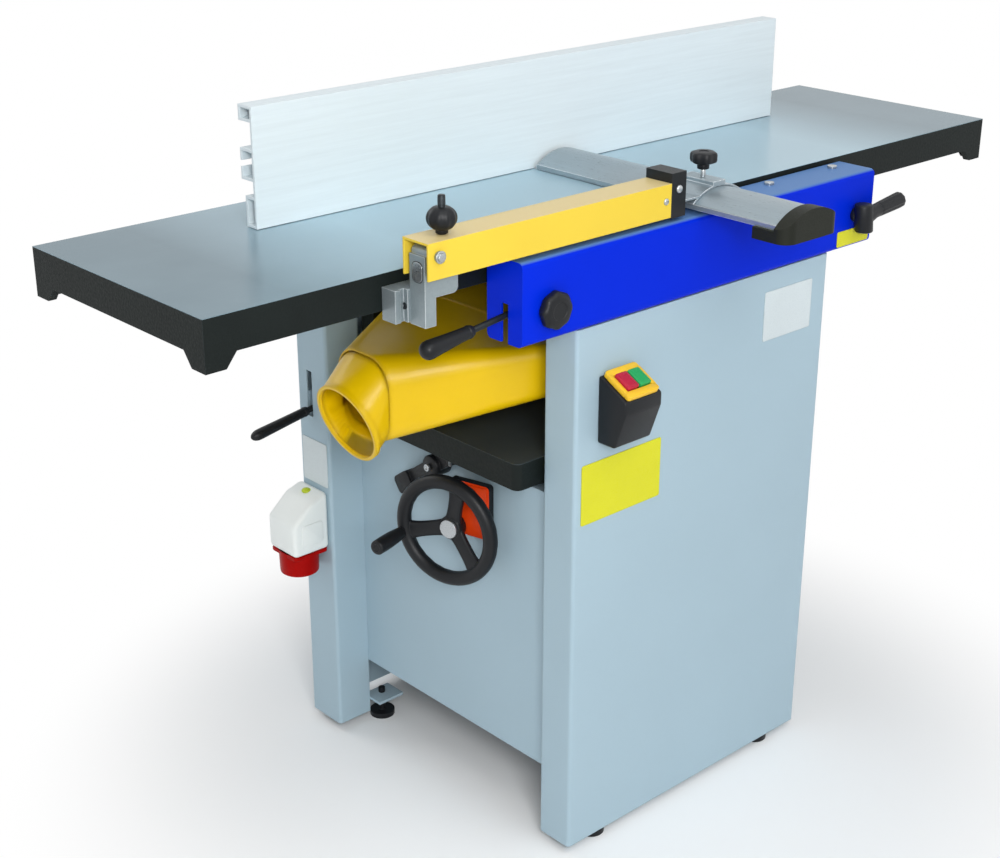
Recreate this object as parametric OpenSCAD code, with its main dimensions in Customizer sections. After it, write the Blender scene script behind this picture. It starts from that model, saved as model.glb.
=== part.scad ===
// Combination planer thicknesser on a sheet metal stand, built as separate pieces.
// X runs along the tables, Y to the rear, Z up; the floor is at Z = 0.

/* [Tables] */
// length over both tables
table_len = 1630; // [1500:5:1800]
// width of both tables
table_w = 410; // [400:1:416]
// height of the table surface above the floor
table_h = 1000; // [960:1:1040]
// depth of the table's edge between its corner feet
table_rim = 50; // [44:1:52]
// depth of the corner feet below the table surface
table_foot = 70; // [60:1:80]
// length of a corner foot
table_foot_len = 30; // [20:1:40]
// thickness of the table plate
table_plate = 14; // [10:1:18]
// thickness of the table's edge walls
table_wall = 12; // [8:1:16]
// opening between the two tables over the cutter
table_gap = 100; // [98:1:104]
// distance of the cutter from the middle of the tables
cutter_x = 29; // [24:1:34]

/* [Stand] */
// thickness of the stand's sheet metal
sheet = 3; // [2:0.5:3.5]
// width of the front panel
panel_w = 558; // [550:1:566]
// middle of the front panel, measured from the middle of the tables
panel_x = 18; // [14:1:22]
// how far the front panel's face lies in front of the tables
panel_reach = 70; // [68:1:71]
// depth of the front panel's folded edges
panel_flange = 66; // [60:1:66]
// height of the stand's lower edge above the floor
ground_gap = 15; // [12:1:20]
// width of the rear housing
rear_w = 616; // [608:1:624]
// how far the rear housing's back lies behind the tables
rear_reach = 125; // [123:1:129]
// depth of the rear housing
rear_depth = 80; // [78:1:82]
// width of the returns at the front of the rear housing
rear_return = 64; // [60:1:66]
// outer radius of the stand's bends
bend_r = 6; // [5:0.5:8]
// height of the end panels' lower edge
end_low = 120; // [100:1:140]
// distance of the end panels' upper edge below the table surface
end_drop = 405; // [400:1:415]
// diameter of the levelling feet
foot_d = 44; // [36:1:48]

/* [Front rail] */
// distance of the rail's left end from the middle of the tables
rail_left = 371; // [366:1:376]
// distance of the rail's right end from the middle of the tables
rail_right = 394; // [390:1:400]
// how far the rail's face lies in front of the tables
rail_reach = 76; // [75:1:78]
// height of the rail
rail_h = 118; // [114:1:120]
// distance of the rail's top below the table surface
rail_drop = 7; // [6:0.5:8]
// thickness of the rail's sheet
rail_sheet = 4; // [3:0.5:4]

/* [Cutter and feed] */
// diameter of the cutting circle
cutter_d = 90; // [86:1:90]
// number of knives in the cutter
knife_count = 3; // [2:1:4]
// diameter of the feed rollers
roller_d = 46; // [40:1:48]
// distance of each feed roller from the cutter
roller_offset = 85; // [82:1:88]

/* [Thickness bed] */
// length of the thickness bed
bed_len = 612; // [600:1:620]
// distance of the thickness bed's sides inside the tables' sides
bed_inset = 3; // [2:0.5:7]
// distance of the thickness bed below the table surface
bed_drop = 340; // [336:1:346]
// diameter of the bed's guide columns
column_d = 50; // [40:1:56]

/* [Dust hood] */
// diameter of the dust outlet
outlet_d = 128; // [122:1:130]
// downward slope of the dust outlet in degrees
outlet_tilt = 18; // [15:1:21]

/* [Guard] */
// length of the guard arm
arm_len = 447; // [440:1:452]
// height of the guard arm
arm_h = 49; // [46:1:52]
// width of the guard blade
blade_w = 108; // [104:1:110]
// rise of the guard blade's arch
blade_rise = 20; // [17:1:21]
// how far the guard blade reaches in front of the tables
blade_reach = 216; // [190:1:220]

/* [Fence] */
// length of the fence
fence_len = 1105; // [1000:5:1200]
// height of the fence
fence_h = 170; // [150:1:180]
// depth of the fence section at its top
fence_depth = 31; // [28:1:32]
// distance of the fence's face behind the middle of the tables
fence_y = 65; // [64:1:68]

/* [Handwheel] */
// diameter of the handwheel
wheel_d = 184; // [172:1:188]
// thickness of the handwheel's rim
wheel_rim = 23; // [20:1:24]
// number of spokes
spoke_count = 3; // [3:1:5]
// turn of the handwheel's shaft toward the front in degrees
shaft_turn = 15; // [12:1:16]

/* [Hidden] */
$fn = 48;

// overrun of a cut past the faces it goes through
over = 1;
// radial clearance of a shaft turning in its own hole
run_fit = 0.05;
// gap between a moving piece and a face it passes
move_gap = 0.5;
// wider gap of a shaft in a hole that doesn't guide it
free_gap = 1;

// block between two corners given as a range on each axis
module block(x, y, z) {
  translate([x[0], y[0], z[0]])
    cube([x[1] - x[0], y[1] - y[0], z[1] - z[0]]);
}

// profile drawn in Y and Z, carried along X
module along_x(x) {
  translate([x[0], 0, 0])
    rotate([90, 0, 90])
      linear_extrude(x[1] - x[0])
        children();
}

// profile drawn in X and Z, carried along Y
module along_y(y) {
  translate([0, y[1], 0])
    rotate([90, 0, 0])
      linear_extrude(y[1] - y[0])
        children();
}

// profile drawn in X and Y, carried along Z
module along_z(z) {
  translate([0, 0, z[0]])
    linear_extrude(z[1] - z[0])
      children();
}

// round bars along the three axes
module rod_x(x, y, z, r) {
  translate([x[0], y, z])
    rotate([0, 90, 0])
      cylinder(h = x[1] - x[0], r = r);
}

module rod_y(x, y, z, r) {
  translate([x, y[0], z])
    rotate([-90, 0, 0])
      cylinder(h = y[1] - y[0], r = r);
}

module rod_z(x, y, z, r) {
  translate([x, y, z[0]])
    cylinder(h = z[1] - z[0], r = r);
}

// flat rectangle with rounded corners
module soft_rect(x, y, r) {
  translate([x[0] + r, y[0]])
    square([x[1] - x[0] - 2 * r, y[1] - y[0]]);
  translate([x[0], y[0] + r])
    square([x[1] - x[0], y[1] - y[0] - 2 * r]);
  for (px = [x[0] + r, x[1] - r], py = [y[0] + r, y[1] - r])
    translate([px, py])
      circle(r);
}

// puts a piece into the machine's frame, whose origin is on the floor under the middle of its outline
module in_frame() {
  translate([0, frame_y, 0])
    children();
}

// round grip with grooves along its length, its axis on Z
module ribbed_grip(len, r, rib_count, rib_r) {
  difference() {
    cylinder(h = len, r = r);
    for (k = [0 : rib_count - 1])
      rotate(k * 360 / rib_count)
        translate([r + rib_r / 2, 0, -over])
          cylinder(h = len + 2 * over, r = rib_r);
  }
}

// Colours
body_grey = [0.68, 0.77, 0.82];
rail_blue = [0.02, 0.12, 0.8];
iron_dark = [0.16, 0.19, 0.21];
guard_yellow = [0.95, 0.83, 0.22];
hood_yellow = [0.9, 0.76, 0.06];
alu_pale = [0.82, 0.86, 0.88];
steel_grey = [0.62, 0.65, 0.67];
plastic_black = [0.07, 0.08, 0.09];
white_tone = [0.92, 0.93, 0.92];
signal_red = [0.65, 0.03, 0.03];
signal_green = [0.15, 0.65, 0.3];
signal_orange = [0.92, 0.28, 0.05];

// Main faces, worked out from the driving sizes
half_w = table_w / 2;
panel_left = panel_x - panel_w / 2;
panel_right = panel_x + panel_w / 2;
panel_front = half_w + panel_reach;
panel_inner = panel_front - panel_flange;
rear_face = half_w + rear_reach;
rear_front = rear_face - rear_depth;
rear_inner = rear_w / 2 - rear_return;
rear_drop = 95;
rear_top = table_h - rear_drop;
rail_front = half_w + rail_reach;
rail_top = table_h - rail_drop;
rail_bottom = rail_top - rail_h;
rail_gap = 6;
rail_back = half_w + rail_gap;
panel_gap = 2;
panel_top = rail_bottom - panel_gap;
end_x = rear_inner - sheet;
end_high = table_h - end_drop;
bed_w = table_w - 2 * bed_inset;
bed_top = table_h - bed_drop;

// Tables
left_in = cutter_x - table_gap / 2;
right_in = cutter_x + table_gap / 2;
left_len = table_len / 2 + left_in;
right_len = table_len / 2 - right_in;
foot_slope = 16;
inner_wall_back = 60;
rib_t = 10;
rib_depth = 38;
rib_pitch = 150;
rib_share = 1 / 3;
lip_r = 6;

// edge wall of a table, drawn along its length from the outer end
module edge_outline(len, second_foot) {
  rim_z = -table_rim;
  foot_z = -table_foot;
  slope_end = table_foot_len + foot_slope;
  far_side = second_foot
    ? [[len - slope_end, rim_z], [len - table_foot_len, foot_z], [len, foot_z]]
    : [[len - inner_wall_back, rim_z], [len - inner_wall_back, -table_plate], [len, -table_plate]];
  near_side = [[0, 0], [0, foot_z], [table_foot_len, foot_z], [slope_end, rim_z]];
  polygon(concat(near_side, far_side, [[len, 0]]));
}

// one table from its outer end at X = 0 to its lip over the cutter
module table_casting(len) {
  rib_count = floor((len - inner_wall_back - table_wall) / rib_pitch);
  block([0, len - lip_r], [-half_w, half_w], [-table_plate, 0]);
  block([len - 2 * lip_r, len], [-half_w, half_w], [-lip_r, 0]);
  for (side = [-half_w, half_w - table_wall])
    along_y([side, side + table_wall])
      edge_outline(len, false);
  along_x([0, table_wall])
    translate([-half_w, 0])
      edge_outline(table_w, true);
  block([len - inner_wall_back - table_wall, len - inner_wall_back], [-half_w, half_w], [-table_rim, 0]);
  for (side = [-1, 1])
    translate([0, side * half_w * rib_share - rib_t / 2, -rib_depth])
      cube([len - inner_wall_back, rib_t, rib_depth]);
  for (k = [1 : rib_count])
    translate([k * rib_pitch, -half_w, -rib_depth])
      cube([rib_t, table_w, rib_depth]);
}

// Table hinges behind the tables
hinge_inset = 30;
hinge_y = rear_face - hinge_inset;
hinge_drop = 20;
hinge_z = table_h - hinge_drop;
hinge_eye_r = 18;
hinge_pin_r = 8;
hinge_lug = 26;
hinge_cheek = 8;
hinge_base_t = 8;
hinge_base_w = 50;
hinge_base_d = 50;
hinge_foot_w = 44;
hinge_pin_end = 4;
left_hinge_far = -245;
left_hinge_near = -78;
left_hinges = [left_hinge_far, left_hinge_near];
right_hinge_near = 150;
right_hinge_far = 262;
right_hinges = [right_hinge_near, right_hinge_far];

module hinge_lug_at(x) {
  along_x([x - hinge_lug / 2, x + hinge_lug / 2])
    difference() {
      union() {
        translate([hinge_y, hinge_z])
          circle(hinge_eye_r);
        polygon([[half_w - table_wall, table_h - table_rim], [half_w - table_wall, table_h - table_plate],
          [hinge_y, hinge_z + hinge_eye_r], [hinge_y, hinge_z - hinge_eye_r]]);
      }
      translate([hinge_y, hinge_z])
        circle(hinge_pin_r + run_fit);
    }
}

module left_table() {
  in_frame() color(iron_dark) {
    translate([-table_len / 2, 0, table_h])
      table_casting(left_len);
    for (x = left_hinges)
      hinge_lug_at(x);
  }
}

module right_table() {
  in_frame() color(iron_dark) {
    translate([table_len / 2, 0, table_h])
      mirror([1, 0, 0])
        table_casting(right_len);
    for (x = right_hinges)
      hinge_lug_at(x);
  }
}

// Stand
lip = 20;
rear_lip = 16;
end_back = rear_front + rear_lip;

module front_panel() {
  inner_lip_y = -panel_inner - sheet;
  in_frame() color(body_grey) {
    along_z([ground_gap, panel_top])
      difference() {
        soft_rect([panel_left, panel_right], [-panel_front, -panel_inner], bend_r);
        soft_rect([panel_left + sheet, panel_right - sheet],
          [-panel_front + sheet, -panel_inner - sheet], bend_r - sheet);
        translate([panel_left + lip, inner_lip_y - over])
          square([panel_w - 2 * lip, 2 * bend_r]);
      }
    for (z = [ground_gap, panel_top - sheet])
      block([panel_left + bend_r, panel_right - bend_r], [-panel_front + sheet / 2, -panel_front + lip],
        [z, z + sheet]);
  }
}

// lever slot in the left end of the rear housing
slot_inset = 33;
slot_y = rear_face - slot_inset;
slot_w = 14;
slot_drop = 332;
slot_len = 80;
slot_high = table_h - slot_drop;
slot_low = slot_high - slot_len;
feed_pivot_in = 46;
feed_pivot_x = feed_pivot_in - rear_w / 2;
feed_drop = 392;
feed_pivot_z = table_h - feed_drop;
feed_pin_r = 6;
feed_hub_r = 13;
feed_hub_w = 12;
feed_cheek_t = 4;
feed_cheek_high = 22;
belt_hole_half = 74;
belt_hole_x = [cutter_x - belt_hole_half, cutter_x + belt_hole_half];
belt_hole_y = [rear_front + 2 * sheet, rear_face - 2 * sheet];

module rear_housing() {
  half = rear_w / 2;
  in_frame() color(body_grey)
    difference() {
      union() {
        along_z([ground_gap, rear_top])
          difference() {
            soft_rect([-half, half], [rear_front, rear_face], bend_r);
            soft_rect([-half + sheet, half - sheet], [rear_front + sheet, rear_face - sheet],
              bend_r - sheet);
            translate([-rear_inner, rear_front - over])
              square([2 * rear_inner, 2 * bend_r]);
          }
        for (side = [-1, 1])
          mirror([side < 0 ? 1 : 0, 0, 0])
            block([rear_inner - sheet, rear_inner + sheet / 2], [rear_front, rear_front + rear_lip],
              [ground_gap, rear_top]);
        block([-half + sheet / 2, half - sheet / 2], [rear_front + bend_r, rear_face - sheet / 2],
          [rear_top - sheet, rear_top]);
        for (side = [-1, 1])
          translate([0, slot_y + side * (feed_hub_w / 2 + move_gap + feed_cheek_t / 2), 0])
            block([-half + sheet / 2, feed_pivot_x + feed_hub_r], [-feed_cheek_t / 2, feed_cheek_t / 2],
              [feed_pivot_z - feed_cheek_high, feed_pivot_z + feed_cheek_high]);
      }
      block([-half - over, -half + sheet + over], [slot_y - slot_w / 2, slot_y + slot_w / 2],
        [slot_low, slot_high]);
      rod_y(feed_pivot_x, [rear_front, rear_face - sheet - over], feed_pivot_z, feed_pin_r + run_fit);
      block(belt_hole_x, belt_hole_y, [rear_top - sheet - over, rear_top + over]);
    }
}

cover_drop = 4;
cover_top = table_h - cover_drop;

module belt_cover() {
  in_frame() color(body_grey)
    difference() {
      block([belt_hole_x[0] - sheet, belt_hole_x[1] + sheet], [rear_front + sheet, rear_face],
        [rear_top, cover_top]);
      block(belt_hole_x, belt_hole_y, [rear_top - over, cover_top - sheet]);
      rod_y(cutter_x, [rear_front - over, belt_hole_y[0] + over], cutter_z, bearing_r);
    }
}

// Lift drive position, behind the handwheel
lift_x = 20;
lift_y = 50;
shaft_drop = 505;
shaft_z = table_h - shaft_drop;
shaft_r = 9;
panel_hole_r = 14;
// where the turned shaft meets the end panel
panel_run = (end_x + lift_x) / cos(shaft_turn);
panel_hole_y = lift_y - panel_run * sin(shaft_turn);
end_fold = 24;
end_hem = 12;

// frame of the lift shaft: origin where it meets the screw, its X axis along the shaft
module on_shaft() {
  translate([lift_x, lift_y, shaft_z])
    rotate(shaft_turn)
      children();
}

module end_panel(x, hole) {
  color(body_grey)
    difference() {
      union() {
        block([x, x + sheet], [-panel_inner, end_back], [end_low, end_high]);
        along_y([-panel_inner, frame_rear[0] - move_gap])
          soft_rect([x, x + end_fold], [end_high - end_hem, end_high], sheet);
        block([x, x + end_fold], [-panel_inner, frame_rear[0] - move_gap], [end_low, end_low + sheet]);
      }
      if (hole)
        rod_x([x - over, x + sheet + over], panel_hole_y, shaft_z, panel_hole_r);
    }
}

module left_end_panel() {
  in_frame() end_panel(-end_x, true);
}

module right_end_panel() {
  in_frame() mirror([1, 0, 0])
    end_panel(-end_x, false);
}

// Frames that carry the cutter and the feed rollers
cutter_r = cutter_d / 2;
cutter_z = table_h - cutter_r;
journal_r = 12.5;
bearing_r = 26;
roller_r = roller_d / 2;
roller_drop = 87;
roller_z = table_h - roller_drop;
roller_journal_r = 10;
front_frame_t = 22;
frame_front = [-panel_inner - sheet - front_frame_t, -panel_inner - sheet];
rear_frame_t = 30;
frame_rear = [half_w + rail_gap, half_w + rail_gap + rear_frame_t];
shoulder_drop = 62;
frame_shoulder = table_h - shoulder_drop;
crown_gap = 1.5;
frame_crown = rail_top - rail_sheet - crown_gap;
frame_drop = 575;
frame_low = table_h - frame_drop;
motor_x = -130;
motor_drop = 195;
motor_z = shaft_z - motor_drop;
motor_r = 88;
motor_shaft_r = 14;
motor_flange_r = 95;
motor_spigot_r = 60;
frame_edge = 5;
rear_low = motor_z - motor_flange_r - frame_edge;
crown_half = 38;
shoulder_reach = 30;
shoulder_half = roller_offset + shoulder_reach;
hood_pin_r = 7;
hood_pivot_reach = 140;
hood_pivot_x = cutter_x + hood_pivot_reach;
hood_pivot_drop = 165;
hood_pivot_z = table_h - hood_pivot_drop;

module frame_plate(y, x, low) {
  difference() {
    along_y(y)
      polygon([[x[0], low], [x[1], low], [x[1], panel_top - over],
        [cutter_x + shoulder_half, frame_shoulder], [cutter_x + crown_half, frame_shoulder],
        [cutter_x + crown_half, frame_crown], [cutter_x - crown_half, frame_crown],
        [cutter_x - crown_half, frame_shoulder], [cutter_x - shoulder_half, frame_shoulder],
        [x[0], panel_top - over]]);
    rod_y(cutter_x, [y[0] - over, y[1] + over], cutter_z, bearing_r);
    for (side = [-1, 1])
      rod_y(cutter_x + side * roller_offset, [y[0] - over, y[1] + over], roller_z,
        roller_journal_r + run_fit);
    rod_y(hood_pivot_x, [y[0] - over, y[1] + over], hood_pivot_z, hood_pin_r + run_fit);
  }
}

module front_frame() {
  in_frame() color(iron_dark)
    frame_plate(frame_front, [panel_left + bend_r, panel_right - bend_r], frame_low);
}

module rear_frame() {
  in_frame() color(iron_dark)
    difference() {
      frame_plate(frame_rear, [-end_x + sheet, end_x - sheet], rear_low);
      rod_y(motor_x, [frame_rear[0] - over, frame_rear[1] + over], motor_z, motor_spigot_r);
    }
}

// Thickness bed and its lift
bed_plate = 16;
bed_rim = 42;
bed_wall = 12;
bed_corner_r = 12;
beam_rise = 45;
beam_top = shaft_z + beam_rise;
beam_low = shaft_z - beam_rise;
beam_half = 54;
beam_wall = 12;
guide_r = 44;
column_r = column_d / 2;
column_share = 0.625;
column_y = half_w * column_share;
column_len = 324;
column_low = bed_top - bed_plate - column_len;
screw_r = 12;
screw_len = 414;
screw_low = bed_top - bed_plate - screw_len;
gear_r = 30;
gear_small_r = 18;
gear_hub_r = 18;
gear_flange_r = 24;
gear_flange_t = 6;
bevel_gap = 0.3;
beam_post_t = 14;
gear_room = 4;
beam_slot_y = [lift_y - gear_r - gear_room, lift_y + gear_r + gear_room];
bridge_low = shaft_z + gear_r + move_gap;

module cross_beam() {
  post_x = [lift_x - beam_half, lift_x - beam_half + beam_post_t];
  in_frame() color(iron_dark)
    difference() {
      union() {
        block([lift_x - beam_half, lift_x + beam_half], [frame_front[1], frame_rear[0]],
          [beam_low, beam_low + beam_wall]);
        for (x = [lift_x - beam_half, lift_x + beam_half - beam_wall])
          block([x, x + beam_wall], [frame_front[1], frame_rear[0]], [beam_low, beam_top]);
        for (side = [-1, 1])
          rod_z(lift_x, side * column_y, [beam_low, beam_top], guide_r);
        block(post_x, beam_slot_y, [beam_low, beam_top]);
        block([lift_x - beam_half, lift_x + beam_half], beam_slot_y, [bridge_low, beam_top]);
      }
      for (side = [-1, 1])
        rod_z(lift_x, side * column_y, [beam_low - over, beam_top + over], column_r + run_fit);
      rod_z(lift_x, lift_y, [beam_low - over, beam_low + beam_wall + over], screw_r + free_gap);
      rod_z(lift_x, lift_y, [bridge_low - over, beam_top + over], gear_hub_r + run_fit);
      on_shaft()
        rod_x([-2 * beam_half, -gear_small_r], 0, 0, shaft_r + run_fit);
    }
}

module thickness_bed() {
  half_l = bed_len / 2;
  half_b = bed_w / 2;
  in_frame() color(iron_dark)
    difference() {
      union() {
        along_z([bed_top - bed_plate, bed_top])
          soft_rect([-half_l, half_l], [-half_b, half_b], bed_corner_r);
        along_z([bed_top - bed_rim, bed_top - bed_plate])
          difference() {
            soft_rect([-half_l, half_l], [-half_b, half_b], bed_corner_r);
            square([bed_len - 2 * bed_wall, bed_w - 2 * bed_wall], center = true);
          }
        for (x = [-half_l / 2, lift_x, half_l / 2])
          block([x - rib_t / 2, x + rib_t / 2], [-half_b + bed_wall / 2, half_b - bed_wall / 2],
            [bed_top - bed_rim, bed_top - bed_plate / 2]);
        for (side = [-1, 1])
          rod_z(lift_x, side * column_y, [bed_top - bed_rim, bed_top - bed_plate / 2], guide_r);
        rod_z(lift_x, lift_y, [bed_top - bed_rim, bed_top - bed_plate / 2], gear_flange_r);
      }
      for (side = [-1, 1])
        rod_z(lift_x, side * column_y, [bed_top - bed_rim - over, bed_top - bed_plate], column_r);
      rod_z(lift_x, lift_y, [bed_top - bed_rim - over, bed_top - bed_plate], screw_r);
    }
}

module bed_columns() {
  in_frame() color(steel_grey)
    for (side = [-1, 1])
      rod_z(lift_x, side * column_y, [column_low, bed_top - bed_plate], column_r);
}

module lift_screw() {
  in_frame() color(steel_grey)
    rod_z(lift_x, lift_y, [screw_low, bed_top - bed_plate], screw_r);
}

// bevel cone whose tip would lie where the screw and the lift shaft cross, its axis on Z
module bevel_cone() {
  translate([0, 0, gear_small_r])
    cylinder(h = gear_r - gear_small_r, r1 = gear_small_r - bevel_gap, r2 = gear_r - bevel_gap);
}

module lift_gear() {
  in_frame() color(steel_grey)
    translate([lift_x, lift_y, 0])
      difference() {
        union() {
          translate([0, 0, shaft_z])
            bevel_cone();
          rod_z(0, 0, [shaft_z + gear_r - over, beam_top + gear_flange_t], gear_hub_r);
          rod_z(0, 0, [beam_top + bevel_gap, beam_top + gear_flange_t], gear_flange_r);
        }
        rod_z(0, 0, [shaft_z, beam_top + gear_flange_t + over], screw_r + bevel_gap);
      }
}

// Handwheel on the left end panel, its hub set back behind the rim
wheel_reach = 330;
wheel_r = wheel_d / 2;
rim_r = wheel_rim / 2;
wheel_mid_r = wheel_r - rim_r;
wheel_hub_r = 19;
hub_back = 7;
hub_len = 20;
hub_x = [hub_back - wheel_reach, hub_back + hub_len - wheel_reach];
spoke_w = 17;
spoke_t = 11;
spoke_dish = 17;
spoke_turn = 104;
cap_r = 15;
cap_t = 4;
grip_len = 66;
grip_r = 12;
grip_taper_share = 0.8;
grip_pin_r = 5;

// frame of the wheel: origin in the middle of the rim, X up, Z out along the shaft
module on_wheel() {
  on_shaft()
    translate([-wheel_reach, 0, 0])
      rotate([0, -90, 0])
        children();
}

module handwheel() {
  spoke_len = norm([wheel_mid_r, spoke_dish]);
  in_frame() color(plastic_black)
    difference() {
      union() {
        on_wheel() {
          rotate_extrude()
            translate([wheel_mid_r, 0])
              circle(rim_r);
          for (k = [0 : spoke_count - 1])
            rotate(spoke_turn + k * 360 / spoke_count)
              translate([0, 0, -spoke_dish])
                rotate([0, -atan(spoke_dish / wheel_mid_r), 0])
                  translate([0, -spoke_w / 2, -spoke_t / 2])
                    cube([spoke_len, spoke_w, spoke_t]);
        }
        on_shaft()
          rod_x(hub_x, 0, 0, wheel_hub_r);
      }
      on_shaft()
        rod_x([hub_x[0] - wheel_rim, hub_x[1] + wheel_rim], 0, 0, shaft_r);
      on_wheel()
        rotate(spoke_turn)
          translate([wheel_mid_r, 0, -rim_r - over])
            cylinder(h = wheel_rim + 2 * over, r = grip_pin_r + run_fit);
    }
}

module wheel_cap() {
  in_frame() color(steel_grey)
    on_shaft()
      rod_x([hub_x[0] - cap_t, hub_x[0]], 0, 0, cap_r);
}

module wheel_grip() {
  in_frame() color(plastic_black)
    on_wheel()
      rotate(spoke_turn)
        translate([wheel_mid_r, 0, 0]) {
          translate([0, 0, -rim_r + move_gap])
            cylinder(h = wheel_rim, r = grip_pin_r);
          translate([0, 0, rim_r + move_gap])
            cylinder(h = grip_len, r1 = grip_r * grip_taper_share, r2 = grip_r);
        }
}

module lift_shaft() {
  in_frame() color(steel_grey)
    on_shaft() {
      rod_x([hub_x[0], -gear_small_r - over], 0, 0, shaft_r);
      rotate([0, -90, 0])
        bevel_cone();
    }
}

// black and orange position indicator on the lift shaft, held by a pin at the end panel
indicator_front = 58;
indicator_back = 16;
indicator_rise = 74;
indicator_fall = 16;
indicator_t = 13;
indicator_face_t = 2;
indicator_margin = 3;
indicator_soft = 6;
torque_pin_r = 4;
torque_pin_z = 58;
indicator_end = -panel_run - indicator_front * tan(shaft_turn) - move_gap;
indicator_x = [indicator_end - indicator_t, indicator_end];

module position_indicator() {
  pin_end = -panel_run - torque_pin_r * tan(shaft_turn) - bevel_gap;
  in_frame() on_shaft() {
    color(plastic_black)
      difference() {
        union() {
          along_x(indicator_x)
            soft_rect([-indicator_front, indicator_back], [-indicator_fall, indicator_rise],
              indicator_soft);
          rod_x([indicator_x[1] - over, pin_end], 0, torque_pin_z, torque_pin_r);
        }
        rod_x([indicator_x[0] - over, indicator_x[1] + over], 0, 0, shaft_r + move_gap);
      }
    color(signal_orange)
      along_x([indicator_x[0] - indicator_face_t, indicator_x[0]])
        difference() {
          soft_rect([indicator_margin - indicator_front, indicator_back - indicator_margin],
            [indicator_margin - indicator_fall, indicator_rise - indicator_margin],
            indicator_soft - indicator_margin);
          circle(shaft_r + move_gap);
        }
  }
}

// bed clamp lever above the handwheel
lock_y = 34;
lock_drop = 428;
lock_z = table_h - lock_drop;
lock_turn = 36;
lock_gap = 12;
lock_t = 12;
lock_x = [-end_x - lock_gap - lock_t, -end_x - lock_gap];
lock_front = 78;
lock_back = 104;
lock_bar_w = 22;
lock_hub_r = 17;
lock_head_r = 9;
lock_head_t = 6;

module bed_lock() {
  in_frame() translate([0, lock_y, lock_z])
    rotate([-lock_turn, 0, 0])
      color(plastic_black) {
        along_x(lock_x) {
          soft_rect([-lock_front, lock_back], [-lock_bar_w / 2, lock_bar_w / 2], lock_bar_w / 3);
          circle(lock_hub_r);
        }
        rod_x([lock_x[1] - over, -end_x - move_gap], 0, 0, lock_hub_r - lock_head_t);
        rod_x([lock_x[0] - lock_head_t, lock_x[0] + over], 0, 0, lock_head_r);
      }
}

// Feet
foot_stud_r = 6;
foot_disc_t = 9;
foot_plate_t = 5;
foot_plate_w = 56;
foot_nut_r = 11;
foot_rise = 24;
foot_plate_z = ground_gap + foot_rise;
rear_foot_in = 30;
rear_foot = [rear_inner - rear_foot_in, rear_front];
front_foot_side = 76;
front_foot_in = 26;
front_foot = [panel_w / 2 - front_foot_side, front_foot_in - panel_front];
foot_places = [[-rear_foot[0], rear_foot[1]], rear_foot, [panel_x - front_foot[0], front_foot[1]],
  [panel_x + front_foot[0], front_foot[1]]];

module foot_brackets() {
  in_frame() color(body_grey)
    difference() {
      union() {
        for (side = [-1, 1])
          mirror([side < 0 ? 1 : 0, 0, 0])
            block([rear_inner - foot_plate_w, rear_inner - sheet],
              [rear_front - foot_plate_w / 2, rear_front + rear_lip],
              [foot_plate_z, foot_plate_z + foot_plate_t]);
        for (side = [-1, 1])
          translate([panel_x + side * front_foot[0], 0, 0])
            block([-foot_plate_w / 2, foot_plate_w / 2], [-panel_front + sheet, -panel_inner - sheet],
              [foot_plate_z, foot_plate_z + foot_plate_t]);
      }
      for (p = foot_places)
        rod_z(p[0], p[1], [foot_plate_z - over, foot_plate_z + foot_plate_t + over], foot_stud_r);
    }
}

module levelling_feet() {
  in_frame() color(plastic_black)
    for (p = foot_places) {
      rod_z(p[0], p[1], [0, foot_disc_t], foot_d / 2);
      rod_z(p[0], p[1], [foot_disc_t - over, foot_plate_z + foot_plate_t + foot_disc_t], foot_stud_r);
      translate([p[0], p[1], foot_plate_z - foot_disc_t])
        cylinder(h = foot_disc_t, r = foot_nut_r, $fn = 6);
    }
}

// Hinge brackets on the rear housing
module hinge_brackets() {
  side_start = hinge_lug / 2 + move_gap;
  in_frame() color(body_grey)
    for (x = concat(left_hinges, right_hinges)) {
      block([x - hinge_base_w / 2, x + hinge_base_w / 2],
        [hinge_y - hinge_base_d / 2, hinge_y + hinge_base_d / 2], [rear_top, rear_top + hinge_base_t]);
      for (side = [-1, 1])
        translate([x + side * (side_start + hinge_cheek / 2), 0, 0])
          along_x([-hinge_cheek / 2, hinge_cheek / 2])
            difference() {
              union() {
                translate([hinge_y, hinge_z])
                  circle(hinge_eye_r);
                polygon([[hinge_y - hinge_foot_w / 2, rear_top],
                  [hinge_y + hinge_foot_w / 2, rear_top],
                  [hinge_y + hinge_eye_r, hinge_z], [hinge_y - hinge_eye_r, hinge_z]]);
              }
              translate([hinge_y, hinge_z])
                circle(hinge_pin_r);
            }
    }
}

module hinge_pins() {
  half = hinge_lug / 2 + move_gap + hinge_cheek + hinge_pin_end;
  in_frame() color(steel_grey)
    for (x = concat(left_hinges, right_hinges))
      rod_x([x - half, x + half], hinge_y, hinge_z, hinge_pin_r);
}

// Blue front rail
rail_bend_r = 8;
lever_front = 41;
rail_slot_y = -half_w - lever_front;
rail_slot_w = 14;
rail_slot_drop = 62;
rail_slot_top = rail_top - rail_slot_drop;
lever_in = 54;
lever_x = lever_in - rail_left;
lever_drop = 80;
lever_z = table_h - lever_drop;
lever_shaft_r = 7;
right_lever_in = 45;
right_lever_x = rail_right - right_lever_in;
right_lever_drop = 72;
right_lever_z = table_h - right_lever_drop;
rail_lip = 18;

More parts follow.
